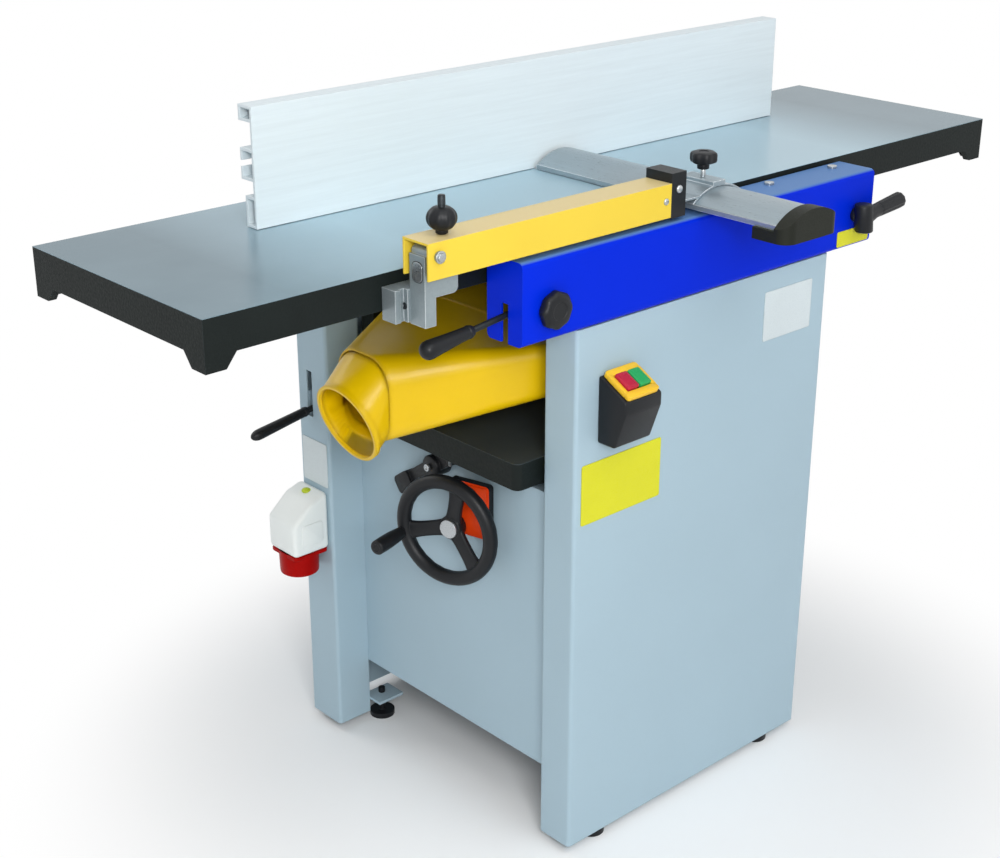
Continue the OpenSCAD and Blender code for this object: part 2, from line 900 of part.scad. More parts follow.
module guide_rail() {
  in_frame() color(rail_blue)
    difference() {
      union() {
        along_x([-rail_left, rail_right])
          difference() {
            union() {
              soft_rect([-rail_front, -rail_back], [rail_bottom, rail_top], rail_bend_r);
              translate([-rail_back - rail_bend_r, rail_bottom])
                square([rail_bend_r, rail_h]);
            }
            soft_rect([-rail_front + rail_sheet, -rail_back + rail_bend_r + over],
              [rail_bottom + rail_sheet, rail_top - rail_sheet], rail_bend_r - rail_sheet);
            translate([-rail_front + rail_lip, rail_bottom - over])
              square([rail_front - rail_back, rail_h / 2]);
          }
        for (x = [-rail_left, rail_right - rail_sheet])
          along_x([x, x + rail_sheet])
            soft_rect([-rail_front, -rail_back], [rail_bottom, rail_top], rail_bend_r);
      }
      block([-rail_left - over, -rail_left + rail_sheet + over],
        [rail_slot_y - rail_slot_w / 2, rail_slot_y + rail_slot_w / 2],
        [rail_bottom - over, rail_slot_top]);
      for (place = [[lever_x, lever_z], [right_lever_x, right_lever_z]])
        rod_y(place[0], [-rail_front - over, -rail_front + rail_sheet + over], place[1],
          lever_shaft_r + free_gap);
      for (x = rail_screw_x)
        rod_z(x, rail_screw_y, [rail_top - rail_sheet - over, rail_top + over], rail_screw_r);
    }
}

tie_left = -90;
tie_right = 193;
rail_screw_x = [tie_right, right_lever_x];
rail_screw_front = 26;
rail_screw_y = -half_w - rail_screw_front;
rail_screw_r = 4;
rail_screw_head_r = 7.5;
rail_screw_head_t = 4;
block_half = 22;
block_deep = 46;
lever_hub_w = 20;
block_y = [rail_bend_r - rail_front, -rail_back - rail_bend_r];
tie_w = 40;

// blocks inside the rail: lever bearings and ties to the front frame
module rail_blocks() {
  in_frame() color(iron_dark)
    difference() {
      union() {
        for (x = [lever_x, right_lever_x])
          block([x - block_half, x + block_half], block_y,
            [lever_z - block_deep / 2, rail_top - rail_sheet]);
        for (x = [tie_left, tie_right])
          block([x - tie_w / 2, x + tie_w / 2], [block_y[0], frame_front[0]],
            [rail_bottom + block_deep / 2, rail_top - rail_sheet]);
      }
      block([lever_x - block_half - over, lever_x + block_half + over],
        [rail_slot_y - lever_hub_w / 2 - move_gap, rail_slot_y + lever_hub_w / 2 + move_gap],
        [lever_z - block_deep, lever_z + block_half]);
      for (place = [[lever_x, lever_z], [right_lever_x, right_lever_z]])
        rod_y(place[0], [block_y[0] - over, block_y[1] + over], place[1], lever_shaft_r + run_fit);
      for (x = rail_screw_x)
        rod_z(x, rail_screw_y, [rail_top - block_deep / 2, rail_top], rail_screw_r);
    }
}

module rail_screws() {
  in_frame() color(steel_grey)
    for (x = rail_screw_x) {
      rod_z(x, rail_screw_y, [rail_top - block_deep / 2, rail_top], rail_screw_r);
      rod_z(x, rail_screw_y, [rail_top, rail_top + rail_screw_head_t], rail_screw_head_r);
    }
}

// left lever: hub on the rail shaft, rod through the slot, round grip
lever_slope = 7;
lever_rod_r = 4.5;
lever_rod_len = 120;
lever_grip_len = 82;
lever_grip_r = 13;
lever_taper_share = 0.7;
lever_hub_r = 16;

module left_lever() {
  in_frame() translate([lever_x, rail_slot_y, lever_z])
    rotate([0, -lever_slope, 0]) {
      color(steel_grey) {
        difference() {
          rod_y(0, [-lever_hub_w / 2, lever_hub_w / 2], 0, lever_hub_r);
          rod_y(0, [-lever_hub_w, lever_hub_w], 0, lever_shaft_r + run_fit);
        }
        rod_x([-lever_rod_len, -lever_shaft_r - lever_rod_r], 0, 0, lever_rod_r);
      }
      color(plastic_black)
        translate([-lever_rod_len + over, 0, 0])
          rotate([0, -90, 0])
            cylinder(h = lever_grip_len, r1 = lever_grip_r * lever_taper_share, r2 = lever_grip_r);
    }
}

// round knob on the rail's front, on the shaft that carries the left lever
rail_knob_r = 27;
rail_knob_t = 17;
knob_flute_count = 12;
knob_flute_r = 4;

module rail_knob() {
  in_frame() color(plastic_black) {
    rod_y(lever_x, [-rail_front - move_gap, block_y[1]], lever_z, lever_shaft_r);
    translate([lever_x, -rail_front - move_gap, lever_z])
      rotate([90, 0, 0])
        ribbed_grip(rail_knob_t, rail_knob_r, knob_flute_count, knob_flute_r);
  }
}

right_hub_r = 19;
right_hub_t = 32;
right_slope = 8;
right_neck_r = 6;
right_neck_len = 52;
right_grip_len = 58;
right_grip_r = 13;
grip_rib_count = 10;
grip_rib_r = 2.4;

module right_lever() {
  in_frame() color(plastic_black) {
    rod_y(right_lever_x, [-rail_front - move_gap - over, block_y[1]], right_lever_z, lever_shaft_r);
    rod_y(right_lever_x, [-rail_front - move_gap - right_hub_t, -rail_front - move_gap], right_lever_z,
      right_hub_r);
    translate([right_lever_x, -rail_front - right_hub_t / 2, right_lever_z])
      rotate([0, 90 - right_slope, 0]) {
        cylinder(h = right_neck_len + over, r = right_neck_r);
        translate([0, 0, right_neck_len])
          ribbed_grip(right_grip_len, right_grip_r, grip_rib_count, grip_rib_r);
      }
  }
}

// feed lever through the slot of the rear housing
feed_slope = 9;
feed_rod_r = 5;
feed_rod_len = 60;
feed_grip_len = 108;
feed_grip_r = 9;
feed_taper_share = 0.85;

module feed_lever() {
  in_frame() translate([feed_pivot_x, slot_y, feed_pivot_z]) {
    color(steel_grey) {
      rod_y(0, [-feed_hub_w / 2, feed_hub_w / 2], 0, feed_hub_r);
      rod_y(0, [-feed_hub_w / 2 - feed_cheek_t - move_gap, feed_hub_w / 2 + feed_cheek_t + move_gap], 0,
        feed_pin_r);
      rotate([0, -feed_slope, 0])
        rod_x([-feed_rod_len, 0], 0, 0, feed_rod_r);
    }
    color(plastic_black)
      rotate([0, -feed_slope, 0])
        translate([-feed_rod_len + over, 0, 0])
          rotate([0, -90, 0])
            cylinder(h = feed_grip_len, r1 = feed_grip_r * feed_taper_share, r2 = feed_grip_r);
  }
}

// Bare plates, each with its width and height
plate_t = 1.2;
yellow_plate = [166, 95];
yellow_plate_in = 13;
yellow_plate_drop = 335;
white_plate = [115, 80];
white_plate_in = 38;
white_plate_drop = 160;
column_plate = [66, 78];
column_plate_in = 8;
column_plate_drop = 452;
rail_plate = [80, 27];
rail_plate_in = 6;
rail_plate_lift = 3;

// plate on a front face, from its left edge and its top
module front_plate(left, face, top, size) {
  block([left, left + size[0]], [face - plate_t, face], [top - size[1], top]);
}

module bare_plates() {
  in_frame() color(guard_yellow) {
    front_plate(panel_left + yellow_plate_in, -panel_front, table_h - yellow_plate_drop, yellow_plate);
    front_plate(rail_right - rail_plate_in - rail_plate[0], -rail_front,
      rail_bottom + rail_plate_lift + rail_plate[1], rail_plate);
  }
  in_frame() color(white_tone) {
    front_plate(panel_right - white_plate_in - white_plate[0], -panel_front, table_h - white_plate_drop,
      white_plate);
    translate([-rear_w / 2, rear_face - column_plate_in, table_h - column_plate_drop])
      block([-plate_t, 0], [-column_plate[0], 0], [-column_plate[1], 0]);
  }
}

// Motor on the rear frame, belt and pulleys
motor_len = 219;
motor_front = frame_rear[0] - motor_len;
motor_flange_t = 14;
motor_fan_len = 46;
motor_fin_count = 20;
motor_fin_h = 7;
motor_fin_t = 4;
pulley_gap = 12;
pulley_w = 36;
pulley_y = [rear_front + pulley_gap, rear_front + pulley_gap + pulley_w];
pulley_edge = 4;
motor_pulley_r = 58;
cutter_pulley_r = 32;
belt_y = [pulley_y[0] + pulley_edge, pulley_y[1] - pulley_edge];
belt_t = 7;
belt_gap = 0.4;
groove_depth = 6;

module motor() {
  core_r = motor_r - motor_fin_h;
  in_frame() color(plastic_black)
    difference() {
      union() {
        rod_y(motor_x, [motor_front + motor_fan_len, frame_rear[0]], motor_z, core_r);
        rod_y(motor_x, [motor_front, motor_front + motor_fan_len], motor_z, motor_r - motor_fin_t / 2);
        rod_y(motor_x, [frame_rear[0] - motor_flange_t, frame_rear[0]], motor_z, motor_flange_r);
        rod_y(motor_x, [frame_rear[0] - over, frame_rear[1]], motor_z, motor_spigot_r);
        for (k = [0 : motor_fin_count - 1])
          translate([motor_x, motor_front + motor_fan_len - over, motor_z])
            rotate([0, k * 360 / motor_fin_count, 0])
              translate([-motor_fin_t / 2, 0, 0])
                cube([motor_fin_t, frame_rear[0] - motor_front - motor_fan_len - over, motor_r]);
      }
      rod_y(motor_x, [frame_rear[0] - motor_flange_t - over, frame_rear[1] + over], motor_z,
        motor_shaft_r + run_fit);
    }
}

// pulley with a belt groove, its axis on Y
module grooved_pulley(x, z, r) {
  difference() {
    rod_y(x, pulley_y, z, r);
    difference() {
      rod_y(x, belt_y, z, r + over);
      rod_y(x, [belt_y[0] - over, belt_y[1] + over], z, r - groove_depth);
    }
  }
}

module motor_pulley() {
  in_frame() color(steel_grey) {
    grooved_pulley(motor_x, motor_z, motor_pulley_r);
    rod_y(motor_x, [frame_rear[0] - motor_flange_t, pulley_y[0] + over], motor_z, motor_shaft_r);
  }
}

module cutter_pulley() {
  in_frame() color(steel_grey)
    difference() {
      grooved_pulley(cutter_x, cutter_z, cutter_pulley_r);
      rod_y(cutter_x, [pulley_y[0] - over, pulley_y[1] + over], cutter_z, journal_r);
    }
}

// loop over both pulleys, larger by the belt's thickness for its outer side
module belt_loop(add) {
  loop_r = belt_gap + add - groove_depth;
  hull() {
    translate([motor_x, motor_z])
      circle(motor_pulley_r + loop_r, $fn = 96);
    translate([cutter_x, cutter_z])
      circle(cutter_pulley_r + loop_r, $fn = 96);
  }
}

module drive_belt() {
  in_frame() color(plastic_black)
    along_y([belt_y[0] + belt_gap, belt_y[1] - belt_gap])
      difference() {
        belt_loop(belt_t);
        belt_loop(0);
      }
}

// Cutter, bearings and feed rollers
knife_out = 3;
cutter_body_r = cutter_r - knife_out;
cutter_reach = 1;
cutter_half = half_w + cutter_reach;
knife_t = 4;
knife_w = 22;
rotor_turn = 17;

module cutter_bearings() {
  in_frame() color(steel_grey)
    for (y = [frame_front, frame_rear])
      difference() {
        rod_y(cutter_x, y, cutter_z, bearing_r);
        rod_y(cutter_x, [y[0] - over, y[1] + over], cutter_z, journal_r + run_fit);
      }
}

module cutterhead() {
  knife_half = cutter_half - 2 * over;
  in_frame() color(steel_grey)
    translate([cutter_x, 0, cutter_z]) {
      difference() {
        rod_y(0, [-cutter_half, cutter_half], 0, cutter_body_r);
        for (k = [0 : knife_count - 1])
          rotate([0, rotor_turn + k * 360 / knife_count, 0])
            block([-knife_t, knife_w / 2], [-cutter_half - over, cutter_half + over],
              [cutter_body_r - knife_w / 2, cutter_r]);
      }
      for (k = [0 : knife_count - 1])
        rotate([0, rotor_turn + k * 360 / knife_count, 0])
          block([-knife_t / 2, knife_t / 2], [-knife_half, knife_half],
            [cutter_body_r - knife_w, cutter_r - move_gap]);
      rod_y(0, [frame_front[0], pulley_y[1]], 0, journal_r);
    }
}

module feed_roller(x) {
  color(steel_grey) {
    rod_y(x, [-cutter_half, cutter_half], roller_z, roller_r);
    rod_y(x, [frame_front[0], frame_rear[1]], roller_z, roller_journal_r);
  }
}

module feed_rollers_in() {
  in_frame() feed_roller(cutter_x - roller_offset);
}

module feed_roller_out() {
  in_frame() feed_roller(cutter_x + roller_offset);
}

// Dust hood below the cutter
hood_t = 3;
hood_gap = 7;
hood_half = half_w - hood_gap;
hood_drop = 184;
hood_h = 78;
hood_top = table_h - hood_drop;
hood_low = hood_top - hood_h;
hood_reach = 100;
hood_right = cutter_x + hood_reach;
throat_reach = 120;
throat_left = cutter_x - throat_reach;
hood_neck_start = -185;
hood_neck_end = -424;
hood_soft = 16;
neck_half = 62;
neck_drop = 190;
neck_h = 138;
neck_top = table_h - neck_drop;
neck_low = neck_top - neck_h;
neck_soft = 46;
outlet_x = -452;
outlet_drop = 292;
outlet_z = table_h - outlet_drop;
outlet_r = outlet_d / 2;
outlet_len = 6;
hood_slice = 1;
hood_lap = 1.5;
hood_tuck = 4;
collar_back = 3;
collar_wall = 5;
hood_ear_r = 15;
hood_ear_t = 6;
hood_ear_root = 34;

module hood_slab(x, half, z, soft) {
  along_x([x, x + hood_slice])
    soft_rect([-half, half], z, soft, $fn = 32);
}

// cylinder on the outlet's own axis, from its plane inwards and outwards
module outlet_rod(r, back, out) {
  translate([outlet_x, 0, outlet_z])
    rotate([0, -90 - outlet_tilt, 0])
      translate([0, 0, -back])
        cylinder(h = back + out, r = r);
}

// funnel from the wide throat to the neck, smaller by an inset
module hood_funnel(inset, start) {
  hull() {
    hood_slab(start, hood_half - inset, [hood_low + inset, hood_top - inset], hood_soft - inset);
    hood_slab(hood_neck_end, neck_half - inset, [neck_low + inset, neck_top - inset], neck_soft - inset);
  }
}

// turn from the neck, smaller by an inset, to the round outlet
module hood_turn(inset, start, end_r) {
  hull() {
    hood_slab(start, neck_half - inset, [neck_low + inset, neck_top - inset], neck_soft - inset);
    outlet_rod(end_r, 0, hood_slice, $fn = 48);
  }
}

// plate that hangs one side of the hood on its pin
module hood_ear(y) {
  along_y(y) {
    translate([hood_pivot_x, hood_pivot_z])
      circle(hood_ear_r);
    polygon([[hood_right - hood_ear_root, hood_low + hood_soft], [hood_right - hood_ear_root, hood_top],
      [hood_pivot_x, hood_pivot_z + hood_ear_r], [hood_pivot_x, hood_pivot_z - hood_ear_r]]);
  }
}

module dust_hood() {
  wall_end = hood_neck_start + hood_t;
  bore_r = outlet_r - collar_wall;
  in_frame() color(hood_yellow)
    difference() {
      union() {
        hood_funnel(hood_lap, hood_neck_start + over);
        hood_turn(2 * hood_lap, hood_neck_end + hood_tuck, outlet_r - hood_lap);
        outlet_rod(outlet_r, collar_back, outlet_len);
        along_x([hood_neck_start, hood_right])
          soft_rect([-hood_half, hood_half], [hood_low, hood_top], hood_soft);
        hood_ear([-hood_half, hood_ear_t - hood_half]);
        hood_ear([hood_half - hood_ear_t, hood_half]);
        rod_y(hood_pivot_x, [frame_front[0], hood_ear_t / 2 - hood_half], hood_pivot_z, hood_pin_r);
        rod_y(hood_pivot_x, [hood_half - hood_ear_t / 2, frame_rear[1]], hood_pivot_z, hood_pin_r);
      }
      hood_funnel(hood_lap + hood_t, wall_end + hood_tuck);
      hood_turn(2 * hood_lap + hood_t, hood_neck_end + 2 * hood_tuck, bore_r - hood_lap);
      along_x([wall_end, hood_right - hood_t])
        soft_rect([-hood_half + hood_t, hood_half - hood_t], [hood_low + hood_t, hood_top - hood_t],
          hood_soft - hood_t);
      block([throat_left, hood_right - hood_ear_t], [-hood_half + hood_ear_t, hood_half - hood_ear_t],
        [hood_top - hood_soft, hood_top + over]);
      outlet_rod(bore_r, over, outlet_len + over);
    }
}

// Guard on the front of the left table
arm_left = -528;
arm_right = arm_left + arm_len;
arm_front = 72;
arm_w = 50;
arm_y = [-half_w - arm_front, arm_w - half_w - arm_front];
arm_lift = 1;
arm_low = table_h + arm_lift;
arm_top = arm_low + arm_h;
arm_t = 3;
pivot_in = 17;
pivot_x = arm_left + pivot_in;
pivot_drop = 19;
pivot_z = arm_top - pivot_drop;
pivot_r = 5;
pivot_head_r = 7.5;
pivot_head_t = 4;
pivot_boss_r = 10;
post_front = 61;
post_w = 30;
post_y = [-half_w - post_front, post_w - half_w - post_front];
post_in = 3;
post_left = arm_left + post_in;
post_leg_w = 18;
post_drop = 64;
post_low = table_h - post_drop;
post_room = 20;
post_top = arm_top - post_room;
post_len = 55;
post_right = post_left + post_len;
web_drop = 26;
post_web_low = table_h - web_drop;
post_soft = 8;
clamp_out = 18;
clamp_len = 46;
clamp_x = [arm_left - clamp_out, clamp_len + arm_left - clamp_out];
clamp_drop = 18;
clamp_h = 44;
clamp_z = [table_h - clamp_drop - clamp_h, table_h - clamp_drop];
clamp_slot = 8;
clamp_slot_in = 13;
clamp_slot_x = clamp_x[0] + clamp_slot_in;
clamp_screw_r = 7;
clamp_screw_in = 33;
clamp_screw_x = clamp_x[0] + clamp_screw_in;
clamp_screw_deep = 4;

module guard_clamp() {
  mid_z = (clamp_z[0] + clamp_z[1]) / 2;
  in_frame() color(alu_pale)
    difference() {
      block(clamp_x, [post_y[1], -half_w], clamp_z);
      block([clamp_slot_x - clamp_slot / 2, clamp_slot_x + clamp_slot / 2],
        [post_y[1] - over, post_y[1] + clamp_slot], [clamp_z[0] - over, clamp_z[1] + over]);
      block([clamp_x[0] - over, clamp_slot_x], [post_y[1] - over, post_y[1] + clamp_slot / 2],
        [clamp_z[0] - over, clamp_z[1] + over]);
      rod_y(clamp_screw_x, [post_y[1] - over, post_y[1] + clamp_screw_deep], mid_z, clamp_screw_r);
    }
}

module guard_post() {
  in_frame() color(alu_pale)
    along_y(post_y) {
      translate([post_left, post_low])
        square([post_leg_w, post_top - post_low]);
      soft_rect([post_left, post_right], [post_web_low, post_top], post_soft);
      translate([pivot_x, pivot_z])
        circle(pivot_boss_r);
      translate([pivot_x - pivot_boss_r, post_top - pivot_boss_r])
        square([2 * pivot_boss_r, pivot_z - post_top + pivot_boss_r]);
    }
  in_frame() color(steel_grey) {
    rod_y(pivot_x, [arm_y[0] - move_gap, arm_y[1]], pivot_z, pivot_r);
    rod_y(pivot_x, [arm_y[0] - move_gap - pivot_head_t, arm_y[0] - move_gap], pivot_z, pivot_head_r);
  }
}

knob_in = 44;
knob_x = arm_left + knob_in;
knob_y = (arm_y[0] + arm_y[1]) / 2;
knob_stud_r = 5;

module guard_arm() {
  in_frame() color(guard_yellow)
    difference() {
      block([arm_left, arm_right], arm_y, [arm_low, arm_top]);
      block([arm_left - over, arm_right + over], [arm_y[0] + arm_t, arm_y[1] - arm_t],
        [arm_low - over, arm_top - arm_t]);
      rod_y(pivot_x, [arm_y[0] - over, arm_y[1] + over], pivot_z, pivot_r + run_fit);
      rod_z(knob_x, knob_y, [arm_top - arm_t - over, arm_top + over], knob_stud_r + run_fit);
    }
}

ball_r = 20;
ball_share = 0.8;
collar_r = 9;
collar_t = 9;
stud_rise = 52;
stud_top = arm_top + stud_rise;

module height_knob() {
  flat = ball_r * ball_share;
  ball_z = arm_top + collar_t + flat;
  in_frame() color(plastic_black) {
    rod_z(knob_x, knob_y, [post_top + move_gap, stud_top], knob_stud_r);
    rod_z(knob_x, knob_y, [arm_top + move_gap, arm_top + collar_t + ball_r / 2], collar_r);
    translate([knob_x, knob_y, ball_z])
      difference() {
        sphere(ball_r, $fn = 64);
        for (side = [-1, 1])
          translate([-ball_r, -ball_r, side > 0 ? flat : -flat - ball_r])
            cube([2 * ball_r, 2 * ball_r, ball_r]);
      }
  }
}

end_plate_t = 30;
end_plate_x = [arm_right, arm_right + end_plate_t];
end_plate_rise = 14;
end_plate_fall = 2;
tongue_len = 24;
tongue_lift = 6;

module arm_end_plate() {
  in_frame() color(plastic_black) {
    block(end_plate_x, arm_y, [arm_low - end_plate_fall, arm_top + end_plate_rise]);
    block([arm_right - tongue_len, arm_right + over], [arm_y[0] + arm_t, arm_y[1] - arm_t],
      [arm_low + tongue_lift, arm_top - arm_t]);
  }
}

// arched blade: outer radius from its width and rise
blade_t = 2.5;
blade_lift = 6;
blade_low = table_h + blade_lift;
blade_gap = 7;
blade_back = fence_y - blade_gap;
blade_front = -half_w - blade_reach;
blade_r = (blade_w * blade_w / 4 + blade_rise * blade_rise) / (2 * blade_rise);
blade_mid_z = blade_low + blade_rise - blade_r;
blade_foot = 6;
blade_foot_rise = 2.5;
blade_foot_gap = 1;
blade_foot_low = table_h + blade_foot_gap;

module arch(outer_r, inner_r, half, low) {
  intersection() {
    difference() {
      translate([cutter_x, blade_mid_z])
        circle(outer_r, $fn = 128);
      translate([cutter_x, blade_mid_z])
        circle(inner_r, $fn = 128);
    }
    translate([cutter_x - half, low])
      square([2 * half, blade_r]);
  }
}

module guard_blade() {
  in_frame() color(alu_pale)
    along_y([blade_front, blade_back]) {
      arch(blade_r, blade_r - blade_t, blade_w / 2, blade_low);
      for (side = [0, 1])
        translate([cutter_x - blade_w / 2 + side * (blade_w - blade_foot), blade_foot_low])
          square([blade_foot, blade_low + blade_foot_rise - blade_foot_low]);
    }
}

cap_wall = 5;
cap_front = 24;
cap_skirt = 38;
cap_deep = 22;
cap_round = 20;

// arch of the blade's end cap, lower by an inset and longer below by the same; the plan cuts its sides
module cap_section(inset) {
  half = blade_w / 2 + cap_wall + over;
  intersection() {
    translate([cutter_x, blade_mid_z])
      circle(blade_r + cap_wall / 2 - inset, $fn = 128);
    translate([cutter_x - half, blade_low - cap_deep - inset])
      square([2 * half, blade_r]);
  }
}

// plan of the cap with its rounded front corners, smaller by an inset
module cap_plan(inset) {
  half = blade_w / 2 + cap_wall - inset;
  soft_rect([cutter_x - half, cutter_x + half],
    [blade_front - cap_front + inset, blade_front + 2 * cap_round], cap_round - inset);
}

module cap_shell(inset) {
  intersection() {
    along_y([blade_front - cap_front, blade_front + (inset > 0 ? over : 0)])
      cap_section(inset);
    along_z([blade_low - blade_r, blade_low + blade_r])
      cap_plan(inset);
  }
}

module blade_end_cap() {
  skirt_lap = (cap_front - cap_round) / 2;
  in_frame() color(plastic_black) {
    difference() {
      cap_shell(0);
      cap_shell(cap_wall);
    }
    for (x = [cutter_x - blade_w / 2 - cap_wall, cutter_x + blade_w / 2 - cap_wall])
      block([x, x + 2 * cap_wall], [blade_front - skirt_lap, blade_front + cap_skirt],
        [blade_low - cap_deep, blade_foot_low]);
  }
}

holder_t = 3;
holder_front = 65;
holder_w = 64;
holder_y = [-half_w - holder_front, holder_w - half_w - holder_front];
holder_over = 2;
holder_half = blade_w / 2 + holder_over;
holder_step_w = 26;
holder_step_h = 8;
holder_step_top = blade_low + blade_rise + move_gap + holder_step_h;
holder_lip_t = 5;
holder_lap = 12;
holder_stud_r = 4;

// arched clamp over the blade: raised slot on top, ledge and lip against the arm's end plate
module guard_holder() {
  inner = blade_r + move_gap;
  ledge_z = blade_low + blade_rise / 2;
  in_frame() color(alu_pale)
    difference() {
      along_y(holder_y)
        difference() {
          union() {
            arch(inner + holder_t, inner, holder_half, blade_low + holder_t);
            translate([cutter_x - holder_step_w / 2, ledge_z])
              square([holder_step_w, holder_step_top - ledge_z]);
            translate([end_plate_x[1], blade_low])
              square([holder_lip_t, arm_top - blade_low]);
            translate([end_plate_x[1], ledge_z])
              square([cutter_x - blade_w / 2 + holder_lap - end_plate_x[1], holder_t]);
          }
          translate([cutter_x, blade_mid_z])
            circle(inner, $fn = 128);
        }
      rod_z(cutter_x, (holder_y[0] + holder_y[1]) / 2, [blade_low, holder_step_top + over],
        holder_stud_r + run_fit);
    }
}

holder_knob_r = 20;
holder_knob_t = 17;
holder_stem_r = 9;
holder_stem_t = 9;
holder_stud_free = 12;
holder_flutes = 8;
holder_flute_r = 5;

module holder_knob() {
  x = cutter_x;
  y = (holder_y[0] + holder_y[1]) / 2;
  stem_low = holder_step_top + holder_stud_free;
  in_frame() color(plastic_black) {
    rod_z(x, y, [blade_low + blade_rise + move_gap, stem_low + over], holder_stud_r);
    rod_z(x, y, [stem_low, stem_low + holder_stem_t], holder_stem_r);
    translate([x, y, stem_low + holder_stem_t])
      ribbed_grip(holder_knob_t, holder_knob_r, holder_flutes, holder_flute_r);
  }
}

// Fence, its sliding bar and the bracket behind the left table
fence_x = 4;
fence_wall = 4;
fence_lift = 1;
fence_low = table_h + fence_lift;
fence_top = fence_low + fence_h;
fence_box_h = 22;
fence_foot_h = 44;
fence_foot_depth = 24;
fence_mid_share = 0.52;
fence_slot = 9;
bar_left = -160;
bar_w = 30;
bar_x = [bar_left, bar_left + bar_w];
bar_lift = 18;
bar_t = 20;
bar_z = [table_h + bar_lift, table_h + bar_lift + bar_t];
tilt_back = 47;
tilt_y = fence_y + tilt_back;
tilt_z = (bar_z[0] + bar_z[1]) / 2;
tilt_r = 6;
tilt_eye_r = 13;
tilt_cheek = 12;
bar_reach = 95;
bar_back = half_w + bar_reach;

module fence_section() {
  back = fence_y + fence_depth;
  mid_z = fence_low + fence_h * fence_mid_share;
  translate([fence_y, fence_low])
    square([fence_wall, fence_h]);
  difference() {
    translate([fence_y, fence_top - fence_box_h])
      square([fence_depth, fence_box_h]);
    translate([fence_y + fence_wall, fence_top - fence_box_h + fence_wall])
      square([fence_depth - 2 * fence_wall, fence_box_h - 2 * fence_wall]);
  }
  difference() {
    translate([fence_y, mid_z - fence_box_h])
      square([fence_depth, 2 * fence_box_h]);
    translate([fence_y + fence_wall, mid_z - fence_box_h + fence_wall])
      square([fence_depth - 2 * fence_wall, 2 * fence_box_h - 2 * fence_wall]);
    translate([back - 2 * fence_wall, mid_z - fence_slot / 2])
      square([3 * fence_wall, fence_slot]);
  }
  difference() {
    translate([fence_y, fence_low])
      square([fence_foot_depth, fence_foot_h]);
    translate([fence_y + fence_wall, fence_low + fence_wall])
      square([fence_foot_depth - 2 * fence_wall, fence_foot_h - 2 * fence_wall]);
  }
}

module fence() {
  in_frame() color(alu_pale) {
    along_x([fence_x - fence_len / 2, fence_x + fence_len / 2])
      fence_section();
    for (x = [bar_x[0] - move_gap - tilt_cheek, bar_x[1] + move_gap])
      along_x([x, x + tilt_cheek])
        difference() {
          union() {
            translate([tilt_y, tilt_z])
              circle(tilt_eye_r);
            translate([fence_y + fence_foot_depth - over, tilt_z - tilt_eye_r])
              square([tilt_y - fence_y - fence_foot_depth + over, 2 * tilt_eye_r]);
          }
          translate([tilt_y, tilt_z])
            circle(tilt_r + run_fit);
        }
  }
}

module fence_bar() {
  pin_half = (bar_x[1] - bar_x[0]) / 2 + move_gap + tilt_cheek;
  mid_x = (bar_x[0] + bar_x[1]) / 2;
  in_frame() color(steel_grey) {
    block(bar_x, [tilt_y, bar_back], bar_z);
    rod_x(bar_x, tilt_y, tilt_z, (bar_z[1] - bar_z[0]) / 2);
    rod_x([mid_x - pin_half, mid_x + pin_half], tilt_y, tilt_z, tilt_r);
  }
}

bracket_gap = 21;
bracket_d = 58;
bracket_y = [half_w + bracket_gap, half_w + bracket_gap + bracket_d];
bracket_side = 12;
bracket_rise = 54;
bracket_top = table_h + bracket_rise;
bracket_drop = 44;
bracket_low = table_h - bracket_drop;
bracket_arm_rise = 8;
bracket_arm_top = table_h + bracket_arm_rise;
handle_in = 36;
handle_y = bracket_y[0] + handle_in;
handle_r = 5;
bar_fit = 0.1;

module fence_bracket() {
  x = [bar_x[0] - bracket_side, bar_x[1] + bracket_side];
  in_frame() color(iron_dark)
    difference() {
      union() {
        block(x, [half_w, bracket_y[1]], [bracket_low, bracket_arm_top]);
        block(x, bracket_y, [bracket_low, bracket_top]);
      }
      block([bar_x[0] - bar_fit, bar_x[1] + bar_fit], [half_w - over, bracket_y[1] + over],
        [bar_z[0] - bar_fit, bar_z[1] + bar_fit]);
      rod_z((bar_x[0] + bar_x[1]) / 2, handle_y, [bar_z[1], bracket_top + over], handle_r + run_fit);
    }
}

handle_hub_r = 10;
handle_hub_t = 18;
handle_len = 66;
handle_bar_r = 5;
handle_ball_r = 10;
handle_rise = 15;

// the frame's origin is midway between the guard's front end and the clamp handle's rear end
handle_end = handle_y + handle_len * cos(handle_rise) + handle_ball_r;
frame_y = (cap_front - blade_front - handle_end) / 2;

module fence_handle() {
  x = (bar_x[0] + bar_x[1]) / 2;
  in_frame() color(plastic_black) {
    rod_z(x, handle_y, [bar_z[1] + move_gap, bracket_top + handle_hub_t], handle_r);
    rod_z(x, handle_y, [bracket_top + move_gap, bracket_top + handle_hub_t], handle_hub_r);
    translate([x, handle_y, bracket_top + handle_hub_t / 2])
      rotate([-90 + handle_rise, 0, 0])
        cylinder(h = handle_len, r = handle_bar_r);
    translate([x, handle_y, bracket_top + handle_hub_t / 2])
      rotate([-90 + handle_rise, 0, 0])
        translate([0, 0, handle_len])
          sphere(handle_ball_r, $fn = 48);
  }
}

// Switch on the front panel
switch_in = 43;
switch_w = 76;
switch_x = [panel_left + switch_in, panel_left + switch_in + switch_w];
switch_d = 54;
switch_y = [-panel_front - switch_d, -panel_front];
switch_drop = 203;
switch_h = 103;
switch_z = [table_h - switch_drop - switch_h, table_h - switch_drop];
switch_slant = 28;
switch_lid_t = 4;
switch_soft = 6;
lid_margin = 8;
button_r = 10;
button_gap = 12;
button_h = 7;
button_pin_r = 6;
lid_slope = atan(switch_slant / switch_d);
switch_mid_x = (switch_x[0] + switch_x[1]) / 2;

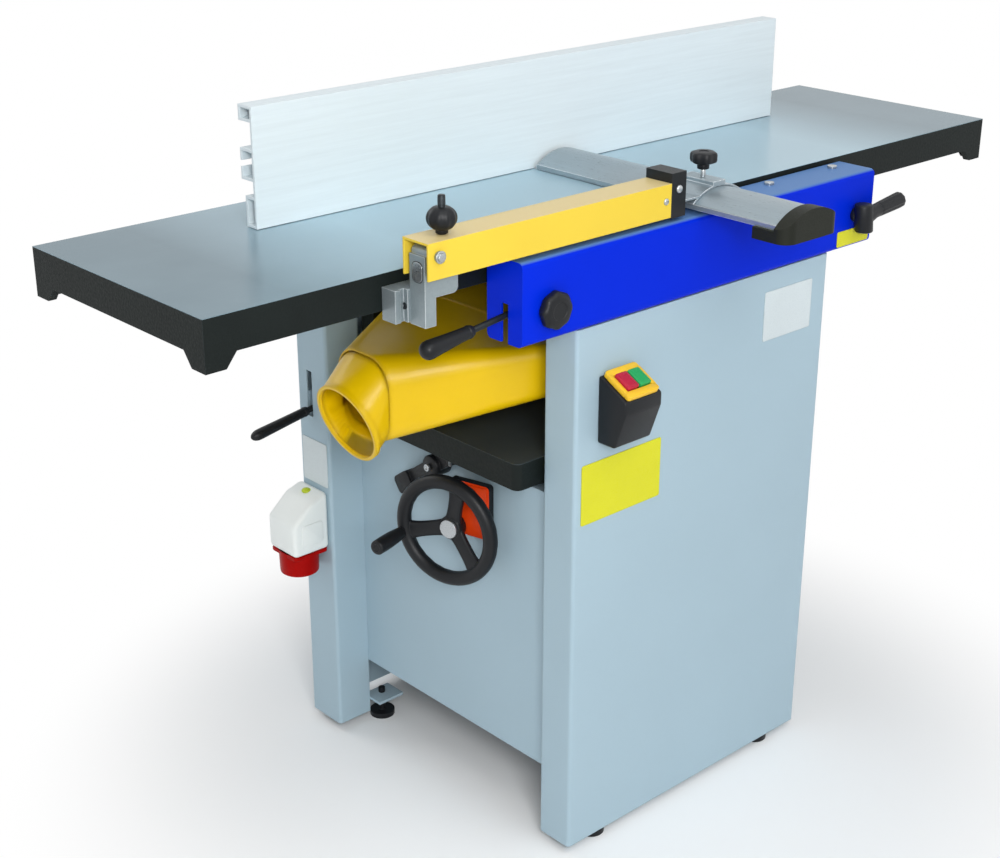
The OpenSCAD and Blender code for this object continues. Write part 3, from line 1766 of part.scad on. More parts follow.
// frame of the slanted lid: origin in its middle, Z out of it
module on_lid() {
  translate([switch_mid_x, (switch_y[0] + switch_y[1]) / 2, switch_z[1] - switch_slant / 2])
    rotate([lid_slope, 0, 0])
      children();
}

module switch_box() {
  in_frame() color(plastic_black)
    difference() {
      along_x(switch_x)
        polygon([[switch_y[0], switch_z[0] + switch_soft], [switch_y[0] + switch_soft, switch_z[0]],
          [switch_y[1], switch_z[0]], [switch_y[1], switch_z[1]],
          [switch_y[0], switch_z[1] - switch_slant]]);
      for (side = [-1, 1])
        on_lid()
          translate([side * button_gap, 0, -3 * button_h])
            cylinder(h = 3 * button_h + over, r = button_pin_r + free_gap);
    }
}

module switch_lid() {
  half_x = switch_w / 2 - lid_margin;
  half_y = switch_d / 2 - lid_margin / 2;
  in_frame() color(guard_yellow)
    on_lid()
      difference() {
        along_z([0, switch_lid_t])
          soft_rect([-half_x, half_x], [-half_y, half_y], switch_soft);
        for (side = [-1, 1])
          translate([side * button_gap, 0, -over])
            cylinder(h = switch_lid_t + 2 * over, r = button_r + move_gap);
      }
}

module push_button(side) {
  on_lid()
    translate([side * button_gap, 0, 0]) {
      translate([0, 0, -2 * button_h])
        cylinder(h = 3 * button_h, r = button_pin_r);
      translate([0, 0, switch_lid_t])
        cylinder(h = button_h, r = button_r);
    }
}

module red_button() {
  in_frame() color(signal_red)
    push_button(-1);
}

module green_button() {
  in_frame() color(signal_green)
    push_button(1);
}

// Power inlet on the rear housing's left end
inlet_over = 4;
inlet_w = 76;
inlet_y = [rear_face + inlet_over - inlet_w, rear_face + inlet_over];
inlet_drop = 536;
inlet_h = 104;
inlet_z = [table_h - inlet_drop - inlet_h, table_h - inlet_drop];
inlet_depth = 72;
inlet_top_depth = 34;
inlet_chin = 22;
inlet_wall_x = -rear_w / 2;
inlet_mid_y = (inlet_y[0] + inlet_y[1]) / 2;
shroud_r = 33;
shroud_wall = 4;
shroud_len = 42;
shroud_out = 38;
shroud_x = inlet_wall_x - shroud_out;
shroud_flange_r = 37;
shroud_flange_t = 8;
pin_circle_r = 19;
pin_count = 4;
inlet_pin_r = 3;
inlet_soft = 10;

module inlet_housing() {
  in_frame() color(white_tone)
    intersection() {
      along_y(inlet_y)
        polygon([[inlet_wall_x, inlet_z[1]],
          [inlet_wall_x - inlet_top_depth, inlet_z[1] - inlet_chin / 2],
          [inlet_wall_x - inlet_depth, inlet_z[1] - 2 * inlet_chin],
          [inlet_wall_x - inlet_depth, inlet_z[0]], [inlet_wall_x, inlet_z[0]]]);
      along_x([inlet_wall_x - inlet_depth, inlet_wall_x])
        soft_rect(inlet_y, inlet_z, inlet_soft);
    }
}

module inlet_shroud() {
  in_frame() color(signal_red) {
    difference() {
      union() {
        rod_z(shroud_x, inlet_mid_y, [inlet_z[0] - shroud_len, inlet_z[0]], shroud_r);
        rod_z(shroud_x, inlet_mid_y, [inlet_z[0] - shroud_flange_t, inlet_z[0]], shroud_flange_r);
      }
      rod_z(shroud_x, inlet_mid_y, [inlet_z[0] - shroud_len - over, inlet_z[0] - shroud_flange_t],
        shroud_r - shroud_wall);
    }
    for (k = [0 : pin_count - 1])
      translate([shroud_x, inlet_mid_y, inlet_z[0] - shroud_len + shroud_flange_t])
        rotate(k * 360 / pin_count)
          translate([pin_circle_r, 0, 0])
            cylinder(h = shroud_len - shroud_flange_t - over, r = inlet_pin_r);
  }
}

front_panel();
rear_housing();
belt_cover();
left_end_panel();
right_end_panel();
front_frame();
rear_frame();
cross_beam();
foot_brackets();
levelling_feet();
hinge_brackets();
hinge_pins();
guide_rail();
rail_blocks();
rail_screws();
bare_plates();
motor();
cutter_bearings();
switch_box();
switch_lid();
inlet_housing();
inlet_shroud();
position_indicator();
drive_belt();
left_table();
right_table();
guard_clamp();
guard_post();
fence_bracket();
guard_arm();
arm_end_plate();
guard_holder();
guard_blade();
blade_end_cap();
height_knob();
holder_knob();
fence_bar();
fence();
fence_handle();
left_lever();
right_lever();
rail_knob();
feed_lever();
handwheel();
wheel_cap();
wheel_grip();
lift_shaft();
lift_gear();
lift_screw();
thickness_bed();
bed_columns();
bed_lock();
dust_hood();
cutterhead();
cutter_pulley();
motor_pulley();
feed_rollers_in();
feed_roller_out();
red_button();
green_button();
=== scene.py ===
import math
import bmesh
import bpy
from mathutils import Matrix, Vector


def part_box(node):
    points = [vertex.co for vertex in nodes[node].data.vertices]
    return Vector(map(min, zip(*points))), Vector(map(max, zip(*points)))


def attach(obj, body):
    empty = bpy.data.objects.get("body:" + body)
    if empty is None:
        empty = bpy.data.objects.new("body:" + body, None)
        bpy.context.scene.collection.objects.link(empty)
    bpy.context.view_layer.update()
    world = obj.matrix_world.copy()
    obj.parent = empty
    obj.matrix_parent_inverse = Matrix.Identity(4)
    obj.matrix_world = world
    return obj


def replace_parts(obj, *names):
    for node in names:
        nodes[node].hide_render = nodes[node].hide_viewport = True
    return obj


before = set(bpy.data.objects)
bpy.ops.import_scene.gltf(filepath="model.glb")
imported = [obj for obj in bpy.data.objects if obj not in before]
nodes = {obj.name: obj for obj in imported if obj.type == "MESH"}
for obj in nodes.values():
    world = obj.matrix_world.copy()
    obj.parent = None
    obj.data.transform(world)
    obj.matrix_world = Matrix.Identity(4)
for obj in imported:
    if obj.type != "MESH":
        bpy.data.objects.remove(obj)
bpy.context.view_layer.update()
scene = bpy.context.scene
railFront = 0.281  # rail's front face, measured from the tables' middle
tableMid = Vector((0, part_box("guide_rail")[0][1] + railFront, 0))  # pieces below are measured from there
print("frame loaded:", len(nodes), "nodes")


# finishes

def tone(code):
    # "b4c8d4" as seen on a screen, to linear light
    parts = [int(code[i:i + 2], 16) / 255 for i in (0, 2, 4)]
    return [p / 12.92 if p <= 0.04045 else ((p + 0.055) / 1.055) ** 2.4 for p in parts] + [1.0]


def shade(colour, factor):
    return [min(1.0, c * factor) for c in colour[:3]] + [1.0]


def addNode(tree, kind, inputs=None, **settings):
    node = tree.nodes.new(kind)
    for key, value in settings.items():
        setattr(node, key, value)
    for key, value in (inputs or {}).items():
        if isinstance(value, bpy.types.NodeSocket):
            tree.links.new(value, node.inputs[key])
        else:
            node.inputs[key].default_value = value
    return node


def mathNode(tree, operation, a, b=0.0, clamp=False):
    node = addNode(tree, "ShaderNodeMath", operation=operation, use_clamp=clamp)
    for i, value in enumerate((a, b)):
        if isinstance(value, bpy.types.NodeSocket):
            tree.links.new(value, node.inputs[i])
        else:
            node.inputs[i].default_value = value
    return node.outputs[0]


def mixColour(tree, factor, a, b):
    node = addNode(tree, "ShaderNodeMix", data_type="RGBA")
    for socket, value in ((node.inputs[0], factor), (node.inputs[6], a), (node.inputs[7], b)):
        if isinstance(value, bpy.types.NodeSocket):
            tree.links.new(value, socket)
        else:
            socket.default_value = value
    return node.outputs[2]


def ramp(tree, value, low, high, outLow=0.0, outHigh=1.0):
    node = addNode(tree, "ShaderNodeMapRange", {0: value, 1: low, 2: high, 3: outLow, 4: outHigh})
    return node.outputs[0]


def objectPoint(tree, stretch=(1, 1, 1)):
    coords = addNode(tree, "ShaderNodeTexCoord")
    mapping = addNode(tree, "ShaderNodeMapping", {"Vector": coords.outputs["Object"], "Scale": stretch})
    return mapping.outputs[0]


def noise(tree, point, scale, detail=3.0, rough=0.55):
    node = addNode(tree, "ShaderNodeTexNoise",
                   {"Vector": point, "Scale": scale, "Detail": detail, "Roughness": rough})
    return node.outputs[0]


def edgeMask(tree, radius):
    # how far the rounded normal leans away from the flat one, so 0 on faces and up to 1 on edges
    bevel = addNode(tree, "ShaderNodeBevel", {"Radius": radius}, samples=6)
    geometry = addNode(tree, "ShaderNodeNewGeometry")
    dot = addNode(tree, "ShaderNodeVectorMath", {0: bevel.outputs[0], 1: geometry.outputs["Normal"]},
                  operation="DOT_PRODUCT")
    return bevel.outputs[0], ramp(tree, dot.outputs["Value"], 0.98, 0.8)


def finish(name, look):
    # one Principled surface: mottled colour, grain in the bump, uneven gloss, rubbed edges; where the
    # rubbed share is high the pale edges also paint edge highlights
    material = bpy.data.materials.new(name)
    material.use_nodes = True
    tree = material.node_tree
    surface = tree.nodes["Principled BSDF"]
    point = objectPoint(tree, look.get("stretch", (1, 1, 1)))
    colour = tone(look["colour"])
    spread = look.get("mottle", 0.06)
    patches = ramp(tree, noise(tree, point, look.get("patchScale", 7.0)), 0.3, 0.7)
    speck = noise(tree, point, look.get("grainScale", 500.0), 2.0)
    base = mixColour(tree, patches, shade(colour, 1 - spread), shade(colour, 1 + spread))
    base = mixColour(tree, ramp(tree, speck, 0.35, 0.75, 0.0, look.get("speck", 0.15)), base,
                     shade(colour, look.get("speckTone", 0.7)))
    if look.get("paintedSkyTint"):
        # painted sky reflection: paler where the face looks up
        normal = addNode(tree, "ShaderNodeNewGeometry").outputs["Normal"]
        facing = addNode(tree, "ShaderNodeSeparateXYZ", {0: normal})
        base = mixColour(tree, ramp(tree, facing.outputs[2], 0.6, 0.95), base, tone(look["paintedSkyTint"]))
    rounded, edges = edgeMask(tree, look.get("edge", 0.0012))
    if look.get("wearAndGleam"):
        rubbedAndGleaming = mathNode(tree, "MULTIPLY", edges, ramp(tree, patches, 0.2, 0.9, 0.2, look["wearAndGleam"]))
        base = mixColour(tree, rubbedAndGleaming, base, tone(look.get("wearAndGleamColour", "c8ccce")))
    tree.links.new(base, surface.inputs["Base Color"])
    rough = look.get("rough", 0.45)
    sway = look.get("roughSway", 0.08)
    tree.links.new(ramp(tree, speck, 0.3, 0.7, rough - sway, rough + sway), surface.inputs["Roughness"])
    bump = addNode(tree, "ShaderNodeBump", {"Height": speck, "Normal": rounded,
                                             "Strength": look.get("bump", 0.06), "Distance": 0.001})
    tree.links.new(bump.outputs[0], surface.inputs["Normal"])
    surface.inputs["Metallic"].default_value = look.get("metal", 0.0)
    surface.inputs["Coat Weight"].default_value = look.get("coat", 0.0)
    surface.inputs["Coat Roughness"].default_value = look.get("coatRough", 0.12)
    surface.inputs["Specular IOR Level"].default_value = look.get("specular", 0.25)
    return material


standPaint = {"colour": "a3bac6", "mottle": 0.02, "patchScale": 3.0, "grainScale": 900.0, "bump": 0.05,
              "rough": 0.42, "speck": 0.06, "wearAndGleam": 0.25, "wearAndGleamColour": "d6e0e6"}
# the rail's upward faces get a paler tint that paints the sky's reflection
railPaint = {"colour": "0128cc", "mottle": 0.05, "patchScale": 4.0, "grainScale": 700.0, "bump": 0.05,
             "rough": 0.4, "speck": 0.05, "specular": 0.05, "wearAndGleam": 0.3, "wearAndGleamColour": "2c54e8",
             "paintedSkyTint": "5f86bc"}
# the arm's upward faces get a paler tint that paints the sky's reflection
armPaint = {"colour": "e2c43e", "mottle": 0.03, "patchScale": 6.0, "grainScale": 800.0, "bump": 0.04,
            "rough": 0.42, "speck": 0.05, "coat": 0.05, "wearAndGleam": 0.3, "wearAndGleamColour": "f8e68c",
            "paintedSkyTint": "dcc78e"}
hoodPaint = {"colour": "e9c000", "mottle": 0.05, "patchScale": 6.0, "grainScale": 700.0, "bump": 0.05,
             "rough": 0.34, "speck": 0.06, "coat": 0.15, "edge": 0.011}
castPaint = {"colour": "131918", "mottle": 0.12, "patchScale": 12.0, "grainScale": 260.0, "bump": 0.35,
             "rough": 0.55, "speck": 0.25, "speckTone": 1.6, "specular": 0.15, "wearAndGleam": 0.4,
             "wearAndGleamColour": "5a6468"}
paleAlu = {"colour": "dde7eb", "mottle": 0.03, "patchScale": 5.0, "grainScale": 60.0, "bump": 0.03,
           "stretch": (1, 30, 30), "rough": 0.45, "metal": 0.15, "speck": 0.12, "speckTone": 0.85,
           "wearAndGleam": 0.2, "wearAndGleamColour": "f2f6f8"}
turnedSteel = {"colour": "b4b9bc", "mottle": 0.08, "patchScale": 14.0, "grainScale": 500.0,
               "bump": 0.05, "rough": 0.32, "metal": 0.9, "speck": 0.2, "wearAndGleam": 0.3,
               "wearAndGleamColour": "e4e8ea"}
blackPlastic = {"colour": "17191c", "mottle": 0.1, "patchScale": 20.0, "grainScale": 900.0,
                "bump": 0.12, "rough": 0.42, "speck": 0.2, "speckTone": 1.5, "wearAndGleam": 0.3,
                "wearAndGleamColour": "3c4146"}
motorPaint = {"colour": "2b3034", "mottle": 0.1, "patchScale": 9.0, "grainScale": 400.0, "bump": 0.12,
              "rough": 0.5, "speck": 0.15, "wearAndGleam": 0.3, "wearAndGleamColour": "60686c"}
beltRubber = {"colour": "141414", "mottle": 0.15, "patchScale": 30.0, "grainScale": 600.0, "bump": 0.2,
              "rough": 0.75, "speck": 0.2, "speckTone": 1.8}
whitePlastic = {"colour": "e9eeec", "mottle": 0.02, "patchScale": 9.0, "grainScale": 900.0,
                "bump": 0.04, "rough": 0.36, "speck": 0.05, "speckTone": 0.85}
redPlastic = {"colour": "a20300", "mottle": 0.07, "patchScale": 25.0, "grainScale": 900.0,
              "bump": 0.05, "rough": 0.34, "speck": 0.1, "specular": 0.08}
redKey = {"colour": "b8243c", "mottle": 0.05, "patchScale": 60.0, "grainScale": 900.0, "bump": 0.05,
          "rough": 0.3}
greenKey = {"colour": "2ca35a", "mottle": 0.05, "patchScale": 60.0, "grainScale": 900.0, "bump": 0.05,
            "rough": 0.3}
lidPlastic = {"colour": "f0c030", "mottle": 0.03, "patchScale": 30.0, "grainScale": 900.0,
              "bump": 0.05, "rough": 0.35}
darkSteel = {"colour": "2b2f32", "mottle": 0.1, "patchScale": 20.0, "grainScale": 600.0, "bump": 0.06,
             "rough": 0.36, "metal": 0.6, "speck": 0.15, "speckTone": 1.6, "wearAndGleam": 0.4,
             "wearAndGleamColour": "6c7478"}
labelYellow = {"colour": "d2d020", "mottle": 0.02, "patchScale": 20.0, "grainScale": 900.0,
               "bump": 0.03, "rough": 0.32, "speck": 0.05}
screwCap = {"colour": "b6c832", "mottle": 0.1, "patchScale": 90.0, "grainScale": 900.0, "bump": 0.05,
            "rough": 0.35}
# the blade's near-white edges are partly rubbed metal and partly painted edge highlights
brightAlu = {"colour": "99a6ad", "mottle": 0.04, "patchScale": 9.0, "grainScale": 60.0, "bump": 0.04,
             "stretch": (30, 1, 30), "rough": 0.34, "metal": 0.55, "speck": 0.15, "speckTone": 0.8,
             "wearAndGleam": 1.4, "wearAndGleamColour": "f4f8fa", "edge": 0.0022}
capRubber = {"colour": "14170f", "mottle": 0.12, "patchScale": 25.0, "grainScale": 500.0, "bump": 0.15,
             "rough": 0.55, "speck": 0.15, "speckTone": 1.4, "wearAndGleam": 0.3, "wearAndGleamColour": "33382c"}
# the clamp's near-white edges are partly rubbed metal and partly painted edge highlights
clampAlu = {"colour": "8f9a9e", "mottle": 0.06, "patchScale": 14.0, "grainScale": 300.0, "bump": 0.06,
            "rough": 0.4, "metal": 0.5, "speck": 0.15, "wearAndGleam": 1.5, "wearAndGleamColour": "dfe6e9",
            "edge": 0.0018}
plateVinyl = {"colour": "cad4d7", "mottle": 0.02, "patchScale": 20.0, "grainScale": 900.0,
              "bump": 0.03, "rough": 0.3, "speck": 0.05}

finishes = {
    "standPaint": (standPaint, ["front_panel", "rear_housing", "belt_cover", "left_end_panel",
                                "right_end_panel", "foot_brackets", "hinge_brackets"]),
    "railPaint": (railPaint, ["guide_rail"]),
    "armPaint": (armPaint, ["guard_arm"]),
    "hoodPaint": (hoodPaint, ["dust_hood"]),
    "castPaint": (castPaint, ["front_frame", "rear_frame", "cross_beam", "rail_blocks", "fence_bracket"]),
    "paleAlu": (paleAlu, ["fence"]),
    "clampAlu": (clampAlu, ["guard_clamp", "guard_post"]),
    "brightAlu": (brightAlu, ["guard_holder", "guard_blade"]),
    "turnedSteel": (turnedSteel, ["hinge_pins", "rail_screws", "cutter_bearings", "fence_bar", "wheel_cap",
                                  "lift_shaft", "lift_gear", "lift_screw", "bed_columns", "cutterhead",
                                  "cutter_pulley", "motor_pulley", "feed_rollers_in", "feed_roller_out"]),
    "darkSteel": (darkSteel, ["left_lever", "feed_lever"]),
    "capRubber": (capRubber, ["blade_end_cap"]),
    "labelYellow": (labelYellow, []),
    "screwCap": (screwCap, []),
    "blackPlastic": (blackPlastic, ["levelling_feet", "switch_box", "arm_end_plate", "height_knob",
                                    "holder_knob", "fence_handle", "right_lever", "rail_knob",
                                    "handwheel", "wheel_grip", "bed_lock"]),
    "motorPaint": (motorPaint, ["motor"]),
    "beltRubber": (beltRubber, ["drive_belt"]),
    "whitePlastic": (whitePlastic, ["inlet_housing"]),
    "redPlastic": (redPlastic, ["inlet_shroud"]),
    "redKey": (redKey, ["red_button"]),
    "greenKey": (greenKey, ["green_button"]),
    "lidPlastic": (lidPlastic, ["switch_lid"]),
    "plateVinyl": (plateVinyl, ["bare_plates"]),
}
made = {}


def dress(node, material):
    nodes[node].data.materials.clear()
    nodes[node].data.materials.append(material)


for name, (look, members) in finishes.items():
    made[name] = finish(name, look)
    for node in members:
        dress(node, made[name])
print("finishes:", len(made))

# ground tops of the two tables and the bed: painted casting below, ground iron on top
# the pale colour towards the tables' middle is a painted reflection of the fence
groundTop = {"colour": "7a8f99", "dark": "6f848e", "paintedGleam": "b0ccd9", "gleamReach": (0.68, 0.44),
             "gleamShare": 0.85, "height": 0.9992, "lines": 900.0, "rough": 0.24, "metal": 0.3,
             "bump": 0.006}
# the bed's ground top is set far darker than the tables' to paint the shade it lies in under them
shadedBedTop = {"colour": "454d50", "dark": "343b3e", "height": 0.6592, "lines": 900.0, "rough": 0.4,
          "metal": 0.3, "bump": 0.006}


def groundCasting(name, s):
    material = finish(name, castPaint)
    tree = material.node_tree
    surface = tree.nodes["Principled BSDF"]
    coords = addNode(tree, "ShaderNodeTexCoord")
    split = addNode(tree, "ShaderNodeSeparateXYZ", {0: coords.outputs["Object"]})
    top = mathNode(tree, "GREATER_THAN", split.outputs[2], s["height"])
    streaks = noise(tree, objectPoint(tree, (0.02, 1, 1)), s["lines"], 3.0)
    clouds = noise(tree, objectPoint(tree), 3.0, 4.0)
    ground = mixColour(tree, ramp(tree, clouds, 0.35, 0.65), tone(s["dark"]), tone(s["colour"]))
    pale = shade(tone(s["colour"]), 1.1)
    ground = mixColour(tree, ramp(tree, streaks, 0.4, 0.7, 0.0, 0.12), ground, pale)
    if s.get("paintedGleam"):
        # painted reflection of the fence: brighter towards the cutter
        away = mathNode(tree, "ABSOLUTE", split.outputs[0])
        share = ramp(tree, away, *s["gleamReach"], 0.0, s["gleamShare"])
        ground = mixColour(tree, share, ground, tone(s["paintedGleam"]))
    painted = surface.inputs["Base Color"].links[0].from_socket
    paintRough = surface.inputs["Roughness"].links[0].from_socket
    tree.links.new(mixColour(tree, top, painted, ground), surface.inputs["Base Color"])
    sheen = ramp(tree, streaks, 0.3, 0.7, s["rough"] - 0.01, s["rough"] + 0.02)
    mixRough = addNode(tree, "ShaderNodeMix", {0: top, 2: paintRough, 3: sheen})
    tree.links.new(mixRough.outputs[0], surface.inputs["Roughness"])
    tree.links.new(mathNode(tree, "MULTIPLY", top, s["metal"]), surface.inputs["Metallic"])
    bump = surface.inputs["Normal"].links[0].from_node
    tree.links.new(ramp(tree, top, 0.0, 1.0, castPaint["bump"], s["bump"]), bump.inputs["Strength"])
    return material


tableMaterial = groundCasting("tableCasting", groundTop)
shadedBedMaterial = groundCasting("shadedBedCasting", shadedBedTop)
dress("left_table", tableMaterial)
dress("right_table", tableMaterial)
dress("thickness_bed", shadedBedMaterial)
print("ground castings done")

# position indicator: black case, orange face towards the wheel
indicator = {"orange": "e8430c", "turn": 15.0, "pivot": (0.02, 0.05), "face": -0.29915}


def indicatorCase():
    material = finish("indicatorCase", blackPlastic)
    tree = material.node_tree
    surface = tree.nodes["Principled BSDF"]
    turn = math.radians(indicator["turn"])
    along = (math.cos(turn), math.sin(turn), 0.0)
    offset = indicator["pivot"][0] * along[0] + (indicator["pivot"][1] + tableMid.y) * along[1]
    coords = addNode(tree, "ShaderNodeTexCoord")
    dot = addNode(tree, "ShaderNodeVectorMath", {0: coords.outputs["Object"], 1: along},
                  operation="DOT_PRODUCT")
    face = mathNode(tree, "LESS_THAN", dot.outputs["Value"], indicator["face"] + offset)
    clouds = noise(tree, objectPoint(tree), 60.0, 2.0)
    orange = tone(indicator["orange"])
    orange = mixColour(tree, clouds, shade(orange, 0.9), shade(orange, 1.1))
    painted = surface.inputs["Base Color"].links[0].from_socket
    tree.links.new(mixColour(tree, face, painted, orange), surface.inputs["Base Color"])
    return material


dress("position_indicator", indicatorCase())
print("indicator done")

# mesh tools for the pieces made here

def meshObject(name, build, sharp=38):
    # build(bm) fills the mesh in metres from the tables' middle
    bm = bmesh.new()
    build(bm)
    bmesh.ops.translate(bm, verts=bm.verts, vec=tableMid)
    bmesh.ops.remove_doubles(bm, verts=bm.verts, dist=1e-6)
    bmesh.ops.recalc_face_normals(bm, faces=bm.faces)
    mesh = bpy.data.meshes.new(name)
    bm.to_mesh(mesh)
    bm.free()
    mesh.polygons.foreach_set("use_smooth", [True] * len(mesh.polygons))
    mesh.set_sharp_from_angle(angle=math.radians(sharp))
    return bpy.data.objects.new(name, mesh)


def place(obj, body, material, slotName):
    scene.collection.objects.link(obj)
    obj.data.materials.append(material)
    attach(obj, body)
    return obj


def addPiece(name, build, body, material, slotName, sharp=38):
    return place(meshObject(name, build, sharp), body, made[material], slotName)


def standIn(node, name, build, body, material, slotName):
    # a piece that shows in place of a node
    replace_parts(addPiece(name, build, body, material, slotName), node)


def axisFrame(start, direction):
    # where the axis starts, its direction and two directions square to it
    along = Vector(direction).normalized()
    side = Vector((1, 0, 0))
    if abs(along.z) < 0.9:
        side = along.cross(Vector((0, 0, 1))).normalized()
    return Vector(start), along, side, along.cross(side)


def turned(bm, start, direction, profile, segments=40, lobes=0, depth=0.0):
    # a turned form: profile is (distance, radius, share of the lobes' depth)
    origin, along, side, up = axisFrame(start, direction)
    loops = []
    for step in profile:
        distance, radius = step[0], step[1]
        share = step[2] if len(step) > 2 else 0.0
        ring = []
        for k in range(segments):
            a = 2 * math.pi * k / segments
            r = radius * (1 + share * depth * math.cos(lobes * a))
            radial = side * math.cos(a) + up * math.sin(a)
            ring.append(bm.verts.new(origin + along * distance + radial * r))
        loops.append(ring)
    for low, high in zip(loops, loops[1:]):
        for k in range(segments):
            n = (k + 1) % segments
            bm.faces.new((low[k], low[n], high[n], high[k]))
    bm.faces.new(list(reversed(loops[0])))
    bm.faces.new(loops[-1])


def rings(start, end, radius, soft=0.0012, share=0.0):
    # profile of a plain round length with softened ends
    slim, part = radius - soft, soft * 0.4
    return [(start, slim, share), (start + part, radius - part, share), (start + soft, radius, share),
            (end - soft, radius, share), (end - part, radius - part, share), (end, slim, share)]


def domeEnd(distance, radius, height, share=0.0, count=7):
    # closing rings of a rounded end that starts at a distance and a radius
    angles = [math.pi / 2 * k / (count - 1) for k in range(count)]
    return [(distance + height * math.sin(a), max(radius * math.cos(a), 0.0004), share) for a in angles]


def softBevel(bm, verts, radius, steps):
    edges = list({e for v in verts for e in v.link_edges})
    bmesh.ops.bevel(bm, geom=edges, offset=radius, segments=steps, affect="EDGES", profile=0.5,
                    clamp_overlap=True)


def prism(bm, outline, low, high, corner, radius, steps=3):
    # outline swept from low to high; corner(u, v, w) puts a point into the frame
    floor = [bm.verts.new(corner(u, v, low)) for u, v in outline]
    lid = [bm.verts.new(corner(u, v, high)) for u, v in outline]
    count = len(outline)
    for k in range(count):
        n = (k + 1) % count
        bm.faces.new((floor[k], floor[n], lid[n], lid[k]))
    bm.faces.new(list(reversed(floor)))
    bm.faces.new(lid)
    softBevel(bm, floor + lid, radius, steps)


def softOutline(low, high, radius, count=6):
    # rectangle with round corners
    points = []
    centres = [(high[0] - radius, high[1] - radius), (low[0] + radius, high[1] - radius),
               (low[0] + radius, low[1] + radius), (high[0] - radius, low[1] + radius)]
    for quarter, (u, v) in enumerate(centres):
        for k in range(count):
            a = math.pi / 2 * (quarter + k / (count - 1))
            points.append((u + radius * math.cos(a), v + radius * math.sin(a)))
    return points


def hexHead(bm, start, direction, radius, height):
    # washer, six-sided head and a shallow crown
    turned(bm, start, direction, rings(0.0, height * 0.25, radius * 1.35, 0.0005), 32)
    head = [(height * 0.25, radius), (height * 0.9, radius), (height, radius * 0.86)]
    turned(bm, start, direction, head, 6)


def socketHead(bm, start, direction, radius, height):
    # round cap screw with its six-sided socket
    turned(bm, start, direction, [(0.0, radius), (height * 0.86, radius), (height, radius * 0.9),
                                  (height, radius * 0.55), (height * 0.5, radius * 0.5)], 36)


def domeHead(bm, start, direction, radius, height):
    turned(bm, start, direction, [(0.0, radius)] + domeEnd(height * 0.2, radius, height * 0.8), 32)


# levers with black grips

leftLever = {"base": (-0.317, -0.246, 0.920), "slope": 7.0, "rod": 0.0045, "rodEnd": 0.124,
             "gripStart": 0.112, "gripEnd": 0.201, "slim": 0.0088, "full": 0.0132, "hub": 0.016,
             "hubHalf": 0.010}
feedLever = {"base": (-0.262, 0.297, 0.608), "slope": 9.0, "rod": 0.005, "rodEnd": 0.066,
             "gripStart": 0.052, "gripEnd": 0.167, "slim": 0.0078, "full": 0.0092, "hub": 0.013,
             "hubHalf": 0.006}


def gripProfile(s):
    # slim ferrule that swells to a full rounded end
    start, end, slim, full = s["gripStart"], s["gripEnd"], s["slim"], s["full"]
    span = end - start
    steps = [(start, slim * 0.7), (start + 0.0012, slim * 0.88), (start + 0.004, slim)]
    for k in range(1, 8):
        share = k / 7
        steps.append((start + 0.004 + (span * 0.84 - 0.004) * share, slim + (full - slim) * share ** 1.3))
    return steps + domeEnd(start + span * 0.86, full, span * 0.14)[1:]


def makeLever(node, body, s, slotName):
    angle = math.radians(s["slope"])
    out = (-math.cos(angle), 0.0, -math.sin(angle))
    base = Vector(s["base"])

    def rod(bm):
        turned(bm, base, out, rings(s["hub"] * 0.6, s["rodEnd"], s["rod"], 0.0008), 28)
        side = base - Vector((0, s["hubHalf"], 0))
        turned(bm, side, (0, 1, 0), rings(0.0, 2 * s["hubHalf"], s["hub"]), 36)

    def grip(bm):
        turned(bm, base, out, gripProfile(s), 40)
        bead = s["gripStart"] + 0.006
        turned(bm, base, out, rings(bead, bead + 0.003, s["slim"] + 0.0007, 0.0006), 40)

    standIn(node, node + ".rod", rod, body, "darkSteel", slotName)
    standIn(node, node + ".grip", grip, body, "blackPlastic", "black_plastic")


makeLever("left_lever", "left_lever", leftLever, "steel")
makeLever("feed_lever", "feed_lever", feedLever, "steel")

railShaft = {"inside": 0.062, "radius": 0.007}  # round shafts that run into the rail's blocks
rightLever = {"hub": (0.349, -0.2815, 0.928), "boss": 0.012, "bossLong": 0.008, "barrel": 0.0148,
              "tall": 0.046, "gap": 0.003, "sink": 0.003, "slope": 6.5, "neck": 0.0112, "neckEnd": 0.034,
              "gripEnd": 0.096, "full": 0.0126, "ribs": 10}


